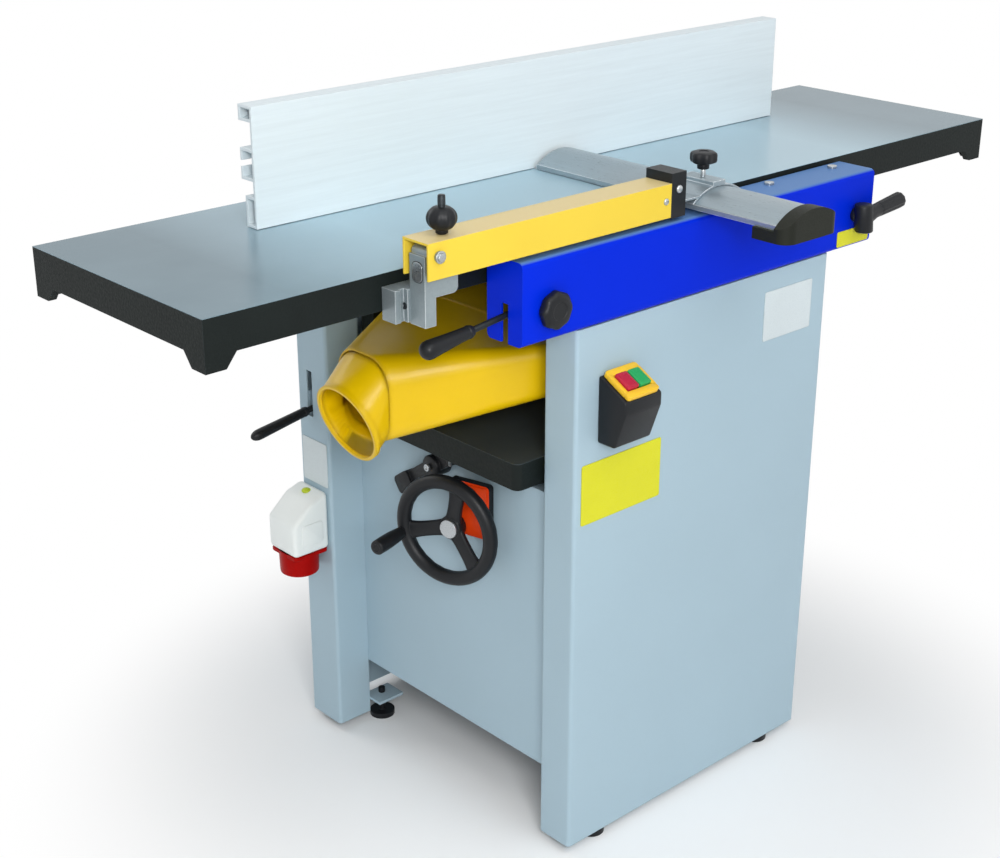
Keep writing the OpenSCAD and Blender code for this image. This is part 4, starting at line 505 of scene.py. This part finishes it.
def makeRightLever(s):
    hub = Vector(s["hub"])
    angle = math.radians(s["slope"])
    out = Vector((math.cos(angle), 0.0, math.sin(angle)))
    upright = Vector((-math.sin(angle), 0.0, math.cos(angle)))
    middle = hub + Vector((0, -s["gap"] - s["barrel"], 0))
    foot = middle - upright * (s["tall"] / 2 + s["sink"])

    def body(bm):
        shaft = rings(0.0, railShaft["inside"] + 0.002, railShaft["radius"])
        turned(bm, hub + Vector((0, railShaft["inside"], 0)), (0, -1, 0), shaft, 28)
        turned(bm, hub, (0, -1, 0), rings(0.0, s["bossLong"], s["boss"], 0.0008), 36)
        turned(bm, foot, upright, rings(0.0, s["tall"], s["barrel"], 0.0022), 40)
        turned(bm, middle, out, [(0.0, s["neck"] * 1.25), (0.012, s["neck"] * 1.25), (0.026, s["neck"]),
                                 (s["neckEnd"] + 0.002, s["neck"])], 32)
        long = s["gripEnd"] - s["neckEnd"]
        profile = [(s["neckEnd"], s["neck"] * 0.9), (s["neckEnd"] + 0.002, s["neck"], 0.5)]
        for k in range(1, 8):
            profile.append((s["neckEnd"] + long * k / 8, s["neck"] + (s["full"] - s["neck"]) * k / 7, 1.0))
        profile += domeEnd(s["gripEnd"] - 0.003, s["full"], 0.003, 0.5)
        turned(bm, middle, out, profile, 60, s["ribs"], 0.05)

    standIn("right_lever", "right_lever.cast", body, "right_lever", "blackPlastic", "black_plastic")


makeRightLever(rightLever)

# knobs with soft lobes

railKnob = {"at": (-0.317, -0.2815, 0.920), "radius": 0.0262, "deep": 0.017, "lobes": 8,
            "depth": 0.035}
heightKnob = {"at": (-0.484, -0.252, 1.0505), "stud": 0.005, "below": 0.020, "top": 0.0505,
              "collar": 0.0082, "collarTop": 0.010, "ball": 0.0195, "flat": 0.0158, "centre": 0.0205,
              "lobes": 10, "depth": 0.035}
holderKnob = {"at": (0.029, -0.238, 1.0265), "stud": 0.004, "stem": 0.009, "stemLow": 0.0200,
              "head": 0.0192, "headLow": 0.0285, "headTop": 0.0455, "lobes": 6, "depth": 0.06}


def makeRailKnob(s):
    at = Vector(s["at"])
    r, t = s["radius"], s["deep"]

    def body(bm):
        shaft = rings(0.0, railShaft["inside"] + 0.001, railShaft["radius"])
        turned(bm, at + Vector((0, railShaft["inside"], 0)), (0, -1, 0), shaft, 28)
        profile = [(0.0, r * 0.8), (0.0015, r * 0.94, 0.6), (0.004, r, 1.0), (t * 0.62, r, 1.0),
                   (t * 0.8, r * 0.95, 0.8), (t * 0.93, r * 0.84, 0.4), (t, r * 0.7, 0.1), (t, r * 0.5),
                   (t * 0.94, r * 0.46), (t * 0.94, r * 0.1)]
        turned(bm, at, (0, -1, 0), profile, 96, s["lobes"], s["depth"])

    standIn("rail_knob", "rail_knob.cap", body, "rail_knob", "blackPlastic", "black_plastic")


def makeHeightKnob(s):
    at = Vector(s["at"])

    def ball(bm):
        turned(bm, at, (0, 0, 1), rings(0.0005, s["collarTop"], s["collar"]), 36)
        profile = []
        for k in range(15):  # a flattened ball, cut off above and below
            share = k / 7 - 1
            a = math.radians(66) * share
            height = s["centre"] + s["flat"] * math.sin(a)
            profile.append((height, s["ball"] * math.cos(a) ** 0.75, max(0.0, 1 - share ** 2)))
        turned(bm, at, (0, 0, 1), profile, 100, s["lobes"], s["depth"])

    def stud(bm):
        turned(bm, at, (0, 0, 1), rings(-s["below"], s["top"], s["stud"], 0.001), 28)
        for k in range(9):  # thread ends that show above the ball
            low = s["top"] - 0.012 + 0.001 * k
            turned(bm, at, (0, 0, 1), rings(low, low + 0.0007, s["stud"] + 0.00025, 0.0002), 24)

    standIn("height_knob", "height_knob.ball", ball, "height_knob", "blackPlastic", "black_plastic")
    standIn("height_knob", "height_knob.stud", stud, "height_knob", "darkSteel", "steel")


def makeHolderKnob(s):
    at = Vector(s["at"])

    def head(bm):
        turned(bm, at, (0, 0, 1), rings(s["stemLow"], s["headLow"] + 0.002, s["stem"]), 36)
        low, top, r = s["headLow"], s["headTop"], s["head"]
        span = top - low
        profile = [(low, r * 0.75, 0.5), (low + span * 0.12, r * 0.95, 1.0), (low + span * 0.3, r, 1.0),
                   (low + span * 0.75, r, 1.0), (low + span * 0.92, r * 0.93, 0.8), (top, r * 0.75, 0.3),
                   (top, r * 0.4), (top - 0.001, r * 0.36)]
        turned(bm, at, (0, 0, 1), profile, 96, s["lobes"], s["depth"])

    def stud(bm):
        turned(bm, at, (0, 0, 1), rings(0.0, s["stemLow"] + 0.002, s["stud"], 0.0004), 28)

    standIn("holder_knob", "holder_knob.head", head, "holder_knob", "blackPlastic", "black_plastic")
    standIn("holder_knob", "holder_knob.stud", stud, "holder_knob", "turnedSteel", "steel")


makeRailKnob(railKnob)
makeHeightKnob(heightKnob)
makeHolderKnob(holderKnob)
print("levers and knobs done")

# handwheel on its turned shaft, with broad spokes that flare into the rim
wheel = {"pivot": (0.02, 0.05, 0.495), "turn": 15.0, "reach": 0.330, "mid": 0.0805, "rim": 0.0115,
         "spokes": 3, "first": 104.0, "dish": 0.017, "half": 0.0122, "flare": 0.0075, "thick": 0.0058,
         "hub": 0.0195, "hubBack": 0.007, "hubLong": 0.020, "waves": 24, "wave": 0.03}
wheelGrip = {"start": 0.0118, "end": 0.0776, "slim": 0.0094, "full": 0.0122}


def wheelFrame():
    turn = math.radians(wheel["turn"])
    out = Vector((-math.cos(turn), -math.sin(turn), 0))
    side = Vector((-math.sin(turn), math.cos(turn), 0))
    return Vector(wheel["pivot"]) + out * wheel["reach"], out, side


def spokeDirection(angle, side):
    return Vector((0, 0, 1)) * math.cos(angle) + side * math.sin(angle)


def bridge(bm, loops, closed):
    # quads between loops of the same length
    pairs = list(zip(loops, loops[1:]))
    if closed:
        pairs.append((loops[-1], loops[0]))
    for low, high in pairs:
        for k in range(len(low)):
            n = (k + 1) % len(low)
            bm.faces.new((low[k], low[n], high[n], high[k]))
    if not closed:
        bm.faces.new(list(reversed(loops[0])))
        bm.faces.new(loops[-1])


def wheelRim(bm):
    centre, out, side = wheelFrame()
    loops = []
    for j in range(120):
        a = 2 * math.pi * j / 120
        radial = spokeDirection(a, side)
        loop = []
        for k in range(20):
            b = 2 * math.pi * k / 20
            # finger waves behind
            swell = 1 + wheel["wave"] * math.cos(wheel["waves"] * a) * max(0.0, -math.sin(b))
            r = wheel["rim"] * swell
            point = centre + radial * (wheel["mid"] + r * math.cos(b)) + out * r * math.sin(b)
            loop.append(bm.verts.new(point))
        loops.append(loop)
    bridge(bm, loops, True)


def wheelSpoke(bm, angle):
    centre, out, side = wheelFrame()
    radial = spokeDirection(angle, side)
    across = out.cross(radial)
    loops = []
    for j in range(13):
        share = j / 12
        mid = centre + radial * (wheel["mid"] * share) - out * (wheel["dish"] * (1 - share))
        half = wheel["half"] + wheel["flare"] * abs(2 * share - 1) ** 3
        loop = []
        for k in range(20):
            b = 2 * math.pi * k / 20
            u = math.copysign(abs(math.cos(b)) ** 0.6, math.cos(b)) * half
            v = math.copysign(abs(math.sin(b)) ** 0.6, math.sin(b)) * wheel["thick"]
            loop.append(bm.verts.new(mid + across * u + out * v))
        loops.append(loop)
    bridge(bm, loops, False)


def makeWheel():
    centre, out, side = wheelFrame()

    def cast(bm):
        wheelRim(bm)
        for k in range(wheel["spokes"]):
            wheelSpoke(bm, math.radians(wheel["first"] + 360 * k / wheel["spokes"]))
        hub = rings(0.0, wheel["hubLong"], wheel["hub"], 0.002)
        turned(bm, centre - out * wheel["hubBack"], -out, hub, 48)

    def grip(bm):
        base = centre + spokeDirection(math.radians(wheel["first"]), side) * wheel["mid"]
        start, end, slim, full = [wheelGrip[k] for k in ("start", "end", "slim", "full")]
        span = end - start
        profile = [(start, slim * 0.86), (start + 0.0012, slim)]
        for k in range(1, 10):
            profile.append((start + span * k / 10, slim + (full - slim) * math.sin(math.pi * k / 14)))
        profile += [(end - 0.002, full * 0.97), (end - 0.0006, full * 0.9), (end, full * 0.82),
                    (end, full * 0.5), (end - 0.0012, full * 0.46)]
        turned(bm, base, out, profile, 40)

    standIn("handwheel", "handwheel.cast", cast, "handwheel", "blackPlastic", "black_plastic")
    standIn("wheel_grip", "wheel_grip.handle", grip, "wheel_grip", "blackPlastic", "black_plastic")


makeWheel()

# bed clamp: cast lever with raised pads and a steel pin
bedLock = {"pivot": (0.034, 0.572), "turn": -36.0, "back": -0.253, "bar": (-0.078, 0.104), "half": 0.0125,
           "thick": 0.013, "pad": 0.038, "padThick": 0.018, "boss": 0.018, "bossBack": 0.0115,
           "bossLong": 0.032, "pinAt": (-0.066, 0.004, 0.021), "pin": 0.0028, "pinLong": 0.024}


def lockPoint(u, v, w):
    # along the lever, across it, and out from the end panel
    c, k = math.cos(math.radians(bedLock["turn"])), math.sin(math.radians(bedLock["turn"]))
    y, z = bedLock["pivot"]
    return (bedLock["back"] - w, y + u * c - v * k, z + u * k + v * c)


def lockCast(bm):
    half = bedLock["half"]
    low, high = bedLock["bar"]
    prism(bm, softOutline((low, -half), (high, half), 0.008), 0.0, bedLock["thick"], lockPoint, 0.002, 2)
    for start in (low - 0.002, high + 0.002 - bedLock["pad"]):
        outline = softOutline((start, -half - 0.003), (start + bedLock["pad"], half + 0.003), 0.006)
        prism(bm, outline, 0.001, bedLock["padThick"], lockPoint, 0.002, 2)
    boss = rings(0.0, bedLock["bossLong"], bedLock["boss"], 0.002)
    turned(bm, lockPoint(0, 0, -bedLock["bossBack"]), (-1, 0, 0), boss, 40)


def lockPin(bm):
    pin = rings(0.0, bedLock["pinLong"], bedLock["pin"], 0.0006)
    turned(bm, lockPoint(*bedLock["pinAt"]), (0, 0, -1), pin, 20)


standIn("bed_lock", "bed_lock.cast", lockCast, "bed_lock", "blackPlastic", "black_plastic")
addPiece("lockPin", lockPin, "bed_lock", "turnedSteel", "steel")
print("handwheel and bed clamp done")

# bare plates: corner, size, face axis
plates = {
    "plateYellow": ("labelYellow", "yellow_plastic", (-0.248, -0.275, 0.570), (0.166, 0.095), "front"),
    "plateRail": ("labelYellow", "yellow_plastic", (0.308, -0.281, 0.880), (0.080, 0.025), "front"),
    "plateWhite": ("plateVinyl", "white_plastic", (0.144, -0.275, 0.760), (0.115, 0.080), "front"),
    "plateColumn": ("plateVinyl", "white_plastic", (-0.308, 0.256, 0.470), (0.066, 0.078), "side"),
}
plateThick = 0.0012


def makePlate(name, material, slotName, corner, size, facing):
    x, y, z = corner

    def body(bm):
        outline = softOutline((0, 0), size, 0.003)
        if facing == "front":
            prism(bm, outline, 0.0, plateThick, lambda u, v, w: (x + u, y - w, z + v), 0.0002, 1)
        else:
            prism(bm, outline, 0.0, plateThick, lambda u, v, w: (x - w, y + u, z + v), 0.0002, 1)

    standIn("bare_plates", name, body, "stand", material, slotName)


for name, (material, slotName, corner, size, facing) in plates.items():
    makePlate(name, material, slotName, corner, size, facing)

# pad in the guard post's left side, with a dark rim round it that paints the shadow line at the pad's edge
postPad = {"x": -0.525, "y": (-0.2615, -0.2425), "z": (0.995, 1.021), "corner": 0.0075,
           "thick": 0.0010, "rim": 0.0010, "shadowRimThick": 0.0005}


def padShape(grow, thick):
    (y0, y1), (z0, z1) = postPad["y"], postPad["z"]

    def body(bm):
        outline = softOutline((y0 - grow, z0 - grow), (y1 + grow, z1 + grow), postPad["corner"])
        prism(bm, outline, 0.0, thick, lambda u, v, w: (postPad["x"] - w, u, v), 0.0002, 1)

    return body


# the dark rim is a painted shadow line round the pad
addPiece("postShadowRim", padShape(postPad["rim"], postPad["shadowRimThick"]), "left_table", "darkSteel", "steel")
addPiece("postPad", padShape(0.0, postPad["thick"]), "left_table", "turnedSteel", "steel")

# switch case that leans back below
switchCase = {"x": (-0.218, -0.142), "soft": 0.0035,
              "profile": [(-0.275, 0.797), (-0.329, 0.769), (-0.329, 0.750), (-0.309, 0.694),
                          (-0.275, 0.694)]}


def makeCase(bm):
    prism(bm, switchCase["profile"], *switchCase["x"], lambda u, v, w: (w, u, v), switchCase["soft"], 3)


standIn("switch_box", "switch_box.case", makeCase, "stand", "blackPlastic", "black_plastic")

# switch keys: soft square caps on the sloping lid
keys = {"x": -0.180, "y": -0.302, "z": 0.783, "slope": math.atan2(28, 54), "gap": 0.0125,
        "half": (0.0112, 0.0155), "low": 0.0048, "top": 0.0118}


def lidPoint(u, v, w):
    # a point on the lid: along X, up the slope, out of the lid
    c, s = math.cos(keys["slope"]), math.sin(keys["slope"])
    return (keys["x"] + u, keys["y"] + v * c - w * s, keys["z"] + v * s + w * c)


def makeKey(node, side, material, slotName):
    u, v = keys["half"]
    mid = side * keys["gap"]

    def cap(bm):
        outline = softOutline((mid - u, -v), (mid + u, v), 0.0025, 4)
        prism(bm, outline, keys["low"], keys["top"], lidPoint, 0.0012, 2)
        inner = softOutline((mid - u * 0.72, -v * 0.76), (mid + u * 0.72, v * 0.76), 0.002, 4)
        prism(bm, inner, keys["top"] - 0.001, keys["top"] + 0.0008, lidPoint, 0.0004, 1)

    standIn(node, node + ".cap", cap, node, material, slotName)


makeKey("red_button", -1, "redKey", "red_plastic")
makeKey("green_button", 1, "greenKey", "green_plastic")


bezel = {"outer": (0.0315, 0.0285), "window": (0.0245, 0.0165), "top": 0.0080, "soft": 0.0012}


def lidFrame(bm):
    # thick rim of four strips round the window that the keys stand in
    (u, v), (a, b) = bezel["outer"], bezel["window"]
    end = b + 0.003  # side strips run a little under the cross strips
    strips = [((-u, -v), (u, -b), 0.005), ((-u, b), (u, v), 0.005),
              ((-u, -end), (-a, end), 0.002), ((a, -end), (u, end), 0.002)]
    for low, high, corner in strips:
        prism(bm, softOutline(low, high, corner, 5), 0.0002, bezel["top"], lidPoint, bezel["soft"], 2)


standIn("switch_lid", "switch_lid.frame", lidFrame, "stand", "lidPlastic", "yellow_plastic")

# liner that carries the hood's bore from the round outlet into the neck
hoodLiner = {"outlet": (-0.452, 0.0, 0.708), "tilt": 18.0, "radius": 0.0586, "out": 0.001, "wall": 0.001,
             "sections": [(-0.4225, 0.0545, 0.6745, 0.797, 0.041), (-0.405, 0.066, 0.683, 0.8045, 0.040)]}


def linerLoops(bm, inset):
    tilt = math.radians(hoodLiner["tilt"])
    outward = Vector((-math.cos(tilt), 0, -math.sin(tilt)))
    upward = Vector((-math.sin(tilt), 0, math.cos(tilt)))
    middle = Vector(hoodLiner["outlet"]) + outward * hoodLiner["out"]
    r = hoodLiner["radius"] - inset
    circle = softOutline((-r, -r), (r, r), r, 12)
    loops = [[bm.verts.new(middle + Vector((0, u, 0)) + upward * v) for u, v in circle]]
    for x, half, low, high, corner in hoodLiner["sections"]:
        outline = softOutline((inset - half, low + inset), (half - inset, high - inset), corner - inset, 12)
        loops.append([bm.verts.new((x, u, v)) for u, v in outline])
    return loops


def linerShell(bm):
    bridge(bm, linerLoops(bm, 0.0) + list(reversed(linerLoops(bm, hoodLiner["wall"]))), True)


addPiece("hoodLiner", linerShell, "dust_hood", "hoodPaint", "yellow_plastic", 60)
print("hood liner done")

# power inlet: soft white body, square flange, red shroud with pins
inlet = {"wall": -0.308, "deep": 0.072, "topDeep": 0.034, "chin": 0.022, "y": (0.258, 0.334),
         "z": (0.360, 0.464), "soft": 0.0085, "shroud": (-0.346, 0.296), "radius": 0.033,
         "inner": 0.029, "long": 0.042, "flange": 0.006, "pins": 5, "pinCircle": 0.017, "pin": 0.003,
         "screw": 0.0085, "screwTall": 0.007, "screwLean": (-0.3, 0, 1)}


def inletBody(bm):
    s = inlet
    x, (z0, z1) = s["wall"], s["z"]
    outline = [(x, z1), (x - s["topDeep"], z1 - s["chin"] / 2), (x - s["deep"], z1 - 2 * s["chin"]),
               (x - s["deep"], z0), (x, z0)]
    prism(bm, outline, s["y"][0], s["y"][1], lambda u, v, w: (u, w, v), s["soft"], 4)
    # plain raised field on the front face
    field = softOutline((x - s["deep"] + 0.016, z0 + 0.016), (x - 0.014, z1 - 2 * s["chin"] - 0.004), 0.006)
    prism(bm, field, s["y"][0] - 0.0012, s["y"][0] + 0.004, lambda u, v, w: (u, w, v), 0.001, 2)


def inletShroud(bm):
    s = inlet
    at = Vector((s["shroud"][0], s["shroud"][1], s["z"][0]))
    r, inner, long = s["radius"], s["inner"], s["long"]
    profile = [(0.0, r * 1.03), (long - 0.004, r), (long - 0.001, r - 0.0005), (long, r - 0.0018),
               (long, inner + 0.0008), (long - 0.002, inner), (0.008, inner), (0.008, inner * 0.5)]
    turned(bm, at, (0, 0, -1), profile, 64)
    for k in range(s["pins"]):
        a = 2 * math.pi * k / s["pins"]
        offset = Vector((s["pinCircle"] * math.cos(a), s["pinCircle"] * math.sin(a), 0))
        turned(bm, at + offset, (0, 0, -1), rings(0.006, long - 0.01, s["pin"], 0.0008), 16)


def inletFlange(bm):
    s = inlet
    x = s["wall"]
    outline = softOutline((x - s["deep"] + 0.002, s["y"][0] + 0.003), (x - 0.002, s["y"][1] - 0.003), 0.006)
    prism(bm, outline, s["z"][0] - s["flange"], s["z"][0], lambda u, v, w: (u, v, w), 0.001, 2)


def inletScrew(bm):
    s = inlet
    at = Vector((s["wall"] - 0.016, (s["y"][0] + s["y"][1]) / 2, s["z"][1] - 0.0075))
    domeHead(bm, at, s["screwLean"], s["screw"], s["screwTall"])


standIn("inlet_housing", "inlet_housing.body", inletBody, "stand", "whitePlastic", "white_plastic")
standIn("inlet_shroud", "inlet_shroud.tube", inletShroud, "stand", "redPlastic", "red_plastic")
standIn("inlet_shroud", "inlet_shroud.flange", inletFlange, "stand", "redPlastic", "red_plastic")
addPiece("inletScrew", inletScrew, "stand", "screwCap", "yellow_plastic")
print("plates, switch and inlet done")

# screws that show on the outside, one piece for each body
screws = {
    "armScrews": ("guard_arm", "turnedSteel", "steel",
                  [("dome", (-0.066, -0.277, 1.040), (0, -1, 0), 0.006, 0.004),
                   ("dome", (-0.092, -0.277, 1.026), (0, -1, 0), 0.005, 0.003)]),
    "clampScrew": ("left_table", "darkSteel", "steel",
                   [("socket", (-0.529, -0.2300, 0.959), (-1, 0, 0), 0.0046, 0.0012)]),
    "pivotBolt": ("left_table", "turnedSteel", "steel",
                  [("hex", (-0.511, -0.2813, 1.031), (0, -1, 0), 0.0062, 0.0035)]),
    "lockScrews": ("bed_lock", "turnedSteel", "steel",
                   [("socket", (-0.2765, 0.034, 0.572), (-1, 0, 0), 0.006, 0.004),
                    ("dome", (-0.2705, -0.016, 0.608), (-1, 0, 0), 0.007, 0.004)]),
    "switchScrews": ("stand", "turnedSteel", "steel",
                     [("dome", (-0.142, -0.296, 0.702), (1, 0, 0), 0.0035, 0.002),
                      ("dome", (-0.142, -0.290, 0.775), (1, 0, 0), 0.0035, 0.002)]),
}
heads = {"dome": domeHead, "socket": socketHead, "hex": hexHead}


def makeScrews(name, body, material, slotName, places):
    def build(bm):
        for kind, at, direction, radius, height in places:
            heads[kind](bm, at, direction, radius, height)

    addPiece(name, build, body, material, slotName)


for name, (body, material, slotName, places) in screws.items():
    makeScrews(name, body, material, slotName, places)
print("screws done")


# floor, backdrop and light
studio = {"floor": "f6f7f7", "floorRough": 0.9, "size": 30.0, "world": 0.45,
          "worldTint": (0.97, 0.98, 1.0, 1.0), "seen": 1.0, "near": 0.5, "far": 1.0}


def seenRay(tree):
    # 1 for rays straight from the camera, by a mirror or through glass
    path = addNode(tree, "ShaderNodeLightPath")
    mirrored = mathNode(tree, "ADD", path.outputs["Is Camera Ray"], path.outputs["Is Glossy Ray"], True)
    return mathNode(tree, "ADD", mirrored, path.outputs["Is Transmission Ray"], True)


def litWhite(tree, output, shader, strength):
    # plain white where the camera sees it
    white = addNode(tree, "ShaderNodeBackground", {"Color": (1, 1, 1, 1), "Strength": strength})
    mix = addNode(tree, "ShaderNodeMixShader", {0: seenRay(tree), 1: shader, 2: white.outputs[0]})
    tree.links.new(mix.outputs[0], output.inputs["Surface"])


def makeFloor():
    mesh = bpy.data.meshes.new("floor")
    half = studio["size"] / 2
    corners = [(-half, -half, 0), (half, -half, 0), (half, half, 0), (-half, half, 0)]
    mesh.from_pydata(corners, [], [(0, 1, 2, 3)])
    floor = bpy.data.objects.new("floor", mesh)
    scene.collection.objects.link(floor)
    material = bpy.data.materials.new("floorPale")
    material.use_nodes = True
    tree = material.node_tree
    surface = tree.nodes["Principled BSDF"]
    surface.inputs["Base Color"].default_value = tone(studio["floor"])
    surface.inputs["Roughness"].default_value = studio["floorRough"]
    # plain white away from the object, its own shade under it
    geometry = addNode(tree, "ShaderNodeNewGeometry")
    far = addNode(tree, "ShaderNodeVectorMath", {0: geometry.outputs["Position"]}, operation="LENGTH")
    white = addNode(tree, "ShaderNodeEmission", {"Color": (1, 1, 1, 1), "Strength": studio["seen"]})
    reach = {0: far.outputs["Value"], 1: studio["near"], 2: studio["far"]}
    fade = addNode(tree, "ShaderNodeMapRange", reach, interpolation_type="SMOOTHSTEP")
    seen = mathNode(tree, "MULTIPLY", fade.outputs[0], seenRay(tree))
    mix = addNode(tree, "ShaderNodeMixShader", {0: seen, 1: surface.outputs[0], 2: white.outputs[0]})
    tree.links.new(mix.outputs[0], tree.nodes["Material Output"].inputs["Surface"])
    mesh.materials.append(material)


def makeLamp(name, power, size, place, target):
    lamp = bpy.data.lights.new(name, "AREA")
    lamp.energy = power
    lamp.shape = "RECTANGLE"
    lamp.size, lamp.size_y = size
    obj = bpy.data.objects.new(name, lamp)
    obj.location = Vector(place) + tableMid
    obj.rotation_euler = (Vector(target) - Vector(place)).to_track_quat("-Z", "Y").to_euler()
    scene.collection.objects.link(obj)


lamps = {
    "keySoft": (56, (1.0, 1.0), (-1.9, -2.4, 2.0), (0, 0, 0.6)),
    "topSoft": (36, (2.4, 2.4), (-0.4, -2.0, 3.6), (0, 0, 0.8)),
    "sideSoft": (8, (2.4, 2.4), (2.8, -2.6, 2.0), (0, 0, 0.7)),
    "rearSoft": (30, (2.0, 2.0), (-1.4, 3.4, 3.0), (0, 0, 0.8)),
}
makeFloor()
for name, (power, size, place, target) in lamps.items():
    makeLamp(name, power, size, place, target)
world = bpy.data.worlds.new("studio")
scene.world = world
world.use_nodes = True
base = world.node_tree.nodes["Background"]
base.inputs["Color"].default_value = studio["worldTint"]
base.inputs["Strength"].default_value = studio["world"]
litWhite(world.node_tree, world.node_tree.nodes["World Output"], base.outputs[0], studio["seen"])
scene.view_settings.view_transform = "Standard"
print("studio ready")

# camera at the photograph's angle
cameraSet = {"place": (-1.8243, -1.8326, 1.6437), "azimuth": -42.329, "elevation": 22.571, "lens": 60.96,
             "sensor": 36.0}
azimuth, elevation = math.radians(cameraSet["azimuth"]), math.radians(cameraSet["elevation"])
back = Vector((math.sin(azimuth) * math.cos(elevation), -math.cos(azimuth) * math.cos(elevation),
               math.sin(elevation)))
lensData = bpy.data.cameras.new("photoCamera")
lensData.lens = cameraSet["lens"]
lensData.sensor_width = cameraSet["sensor"]
camera = bpy.data.objects.new("photoCamera", lensData)
camera.location = Vector(cameraSet["place"]) + tableMid
camera.rotation_mode = "QUATERNION"
camera.rotation_quaternion = (-back).to_track_quat("-Z", "Y")
scene.collection.objects.link(camera)
scene.camera = camera
print("camera placed")
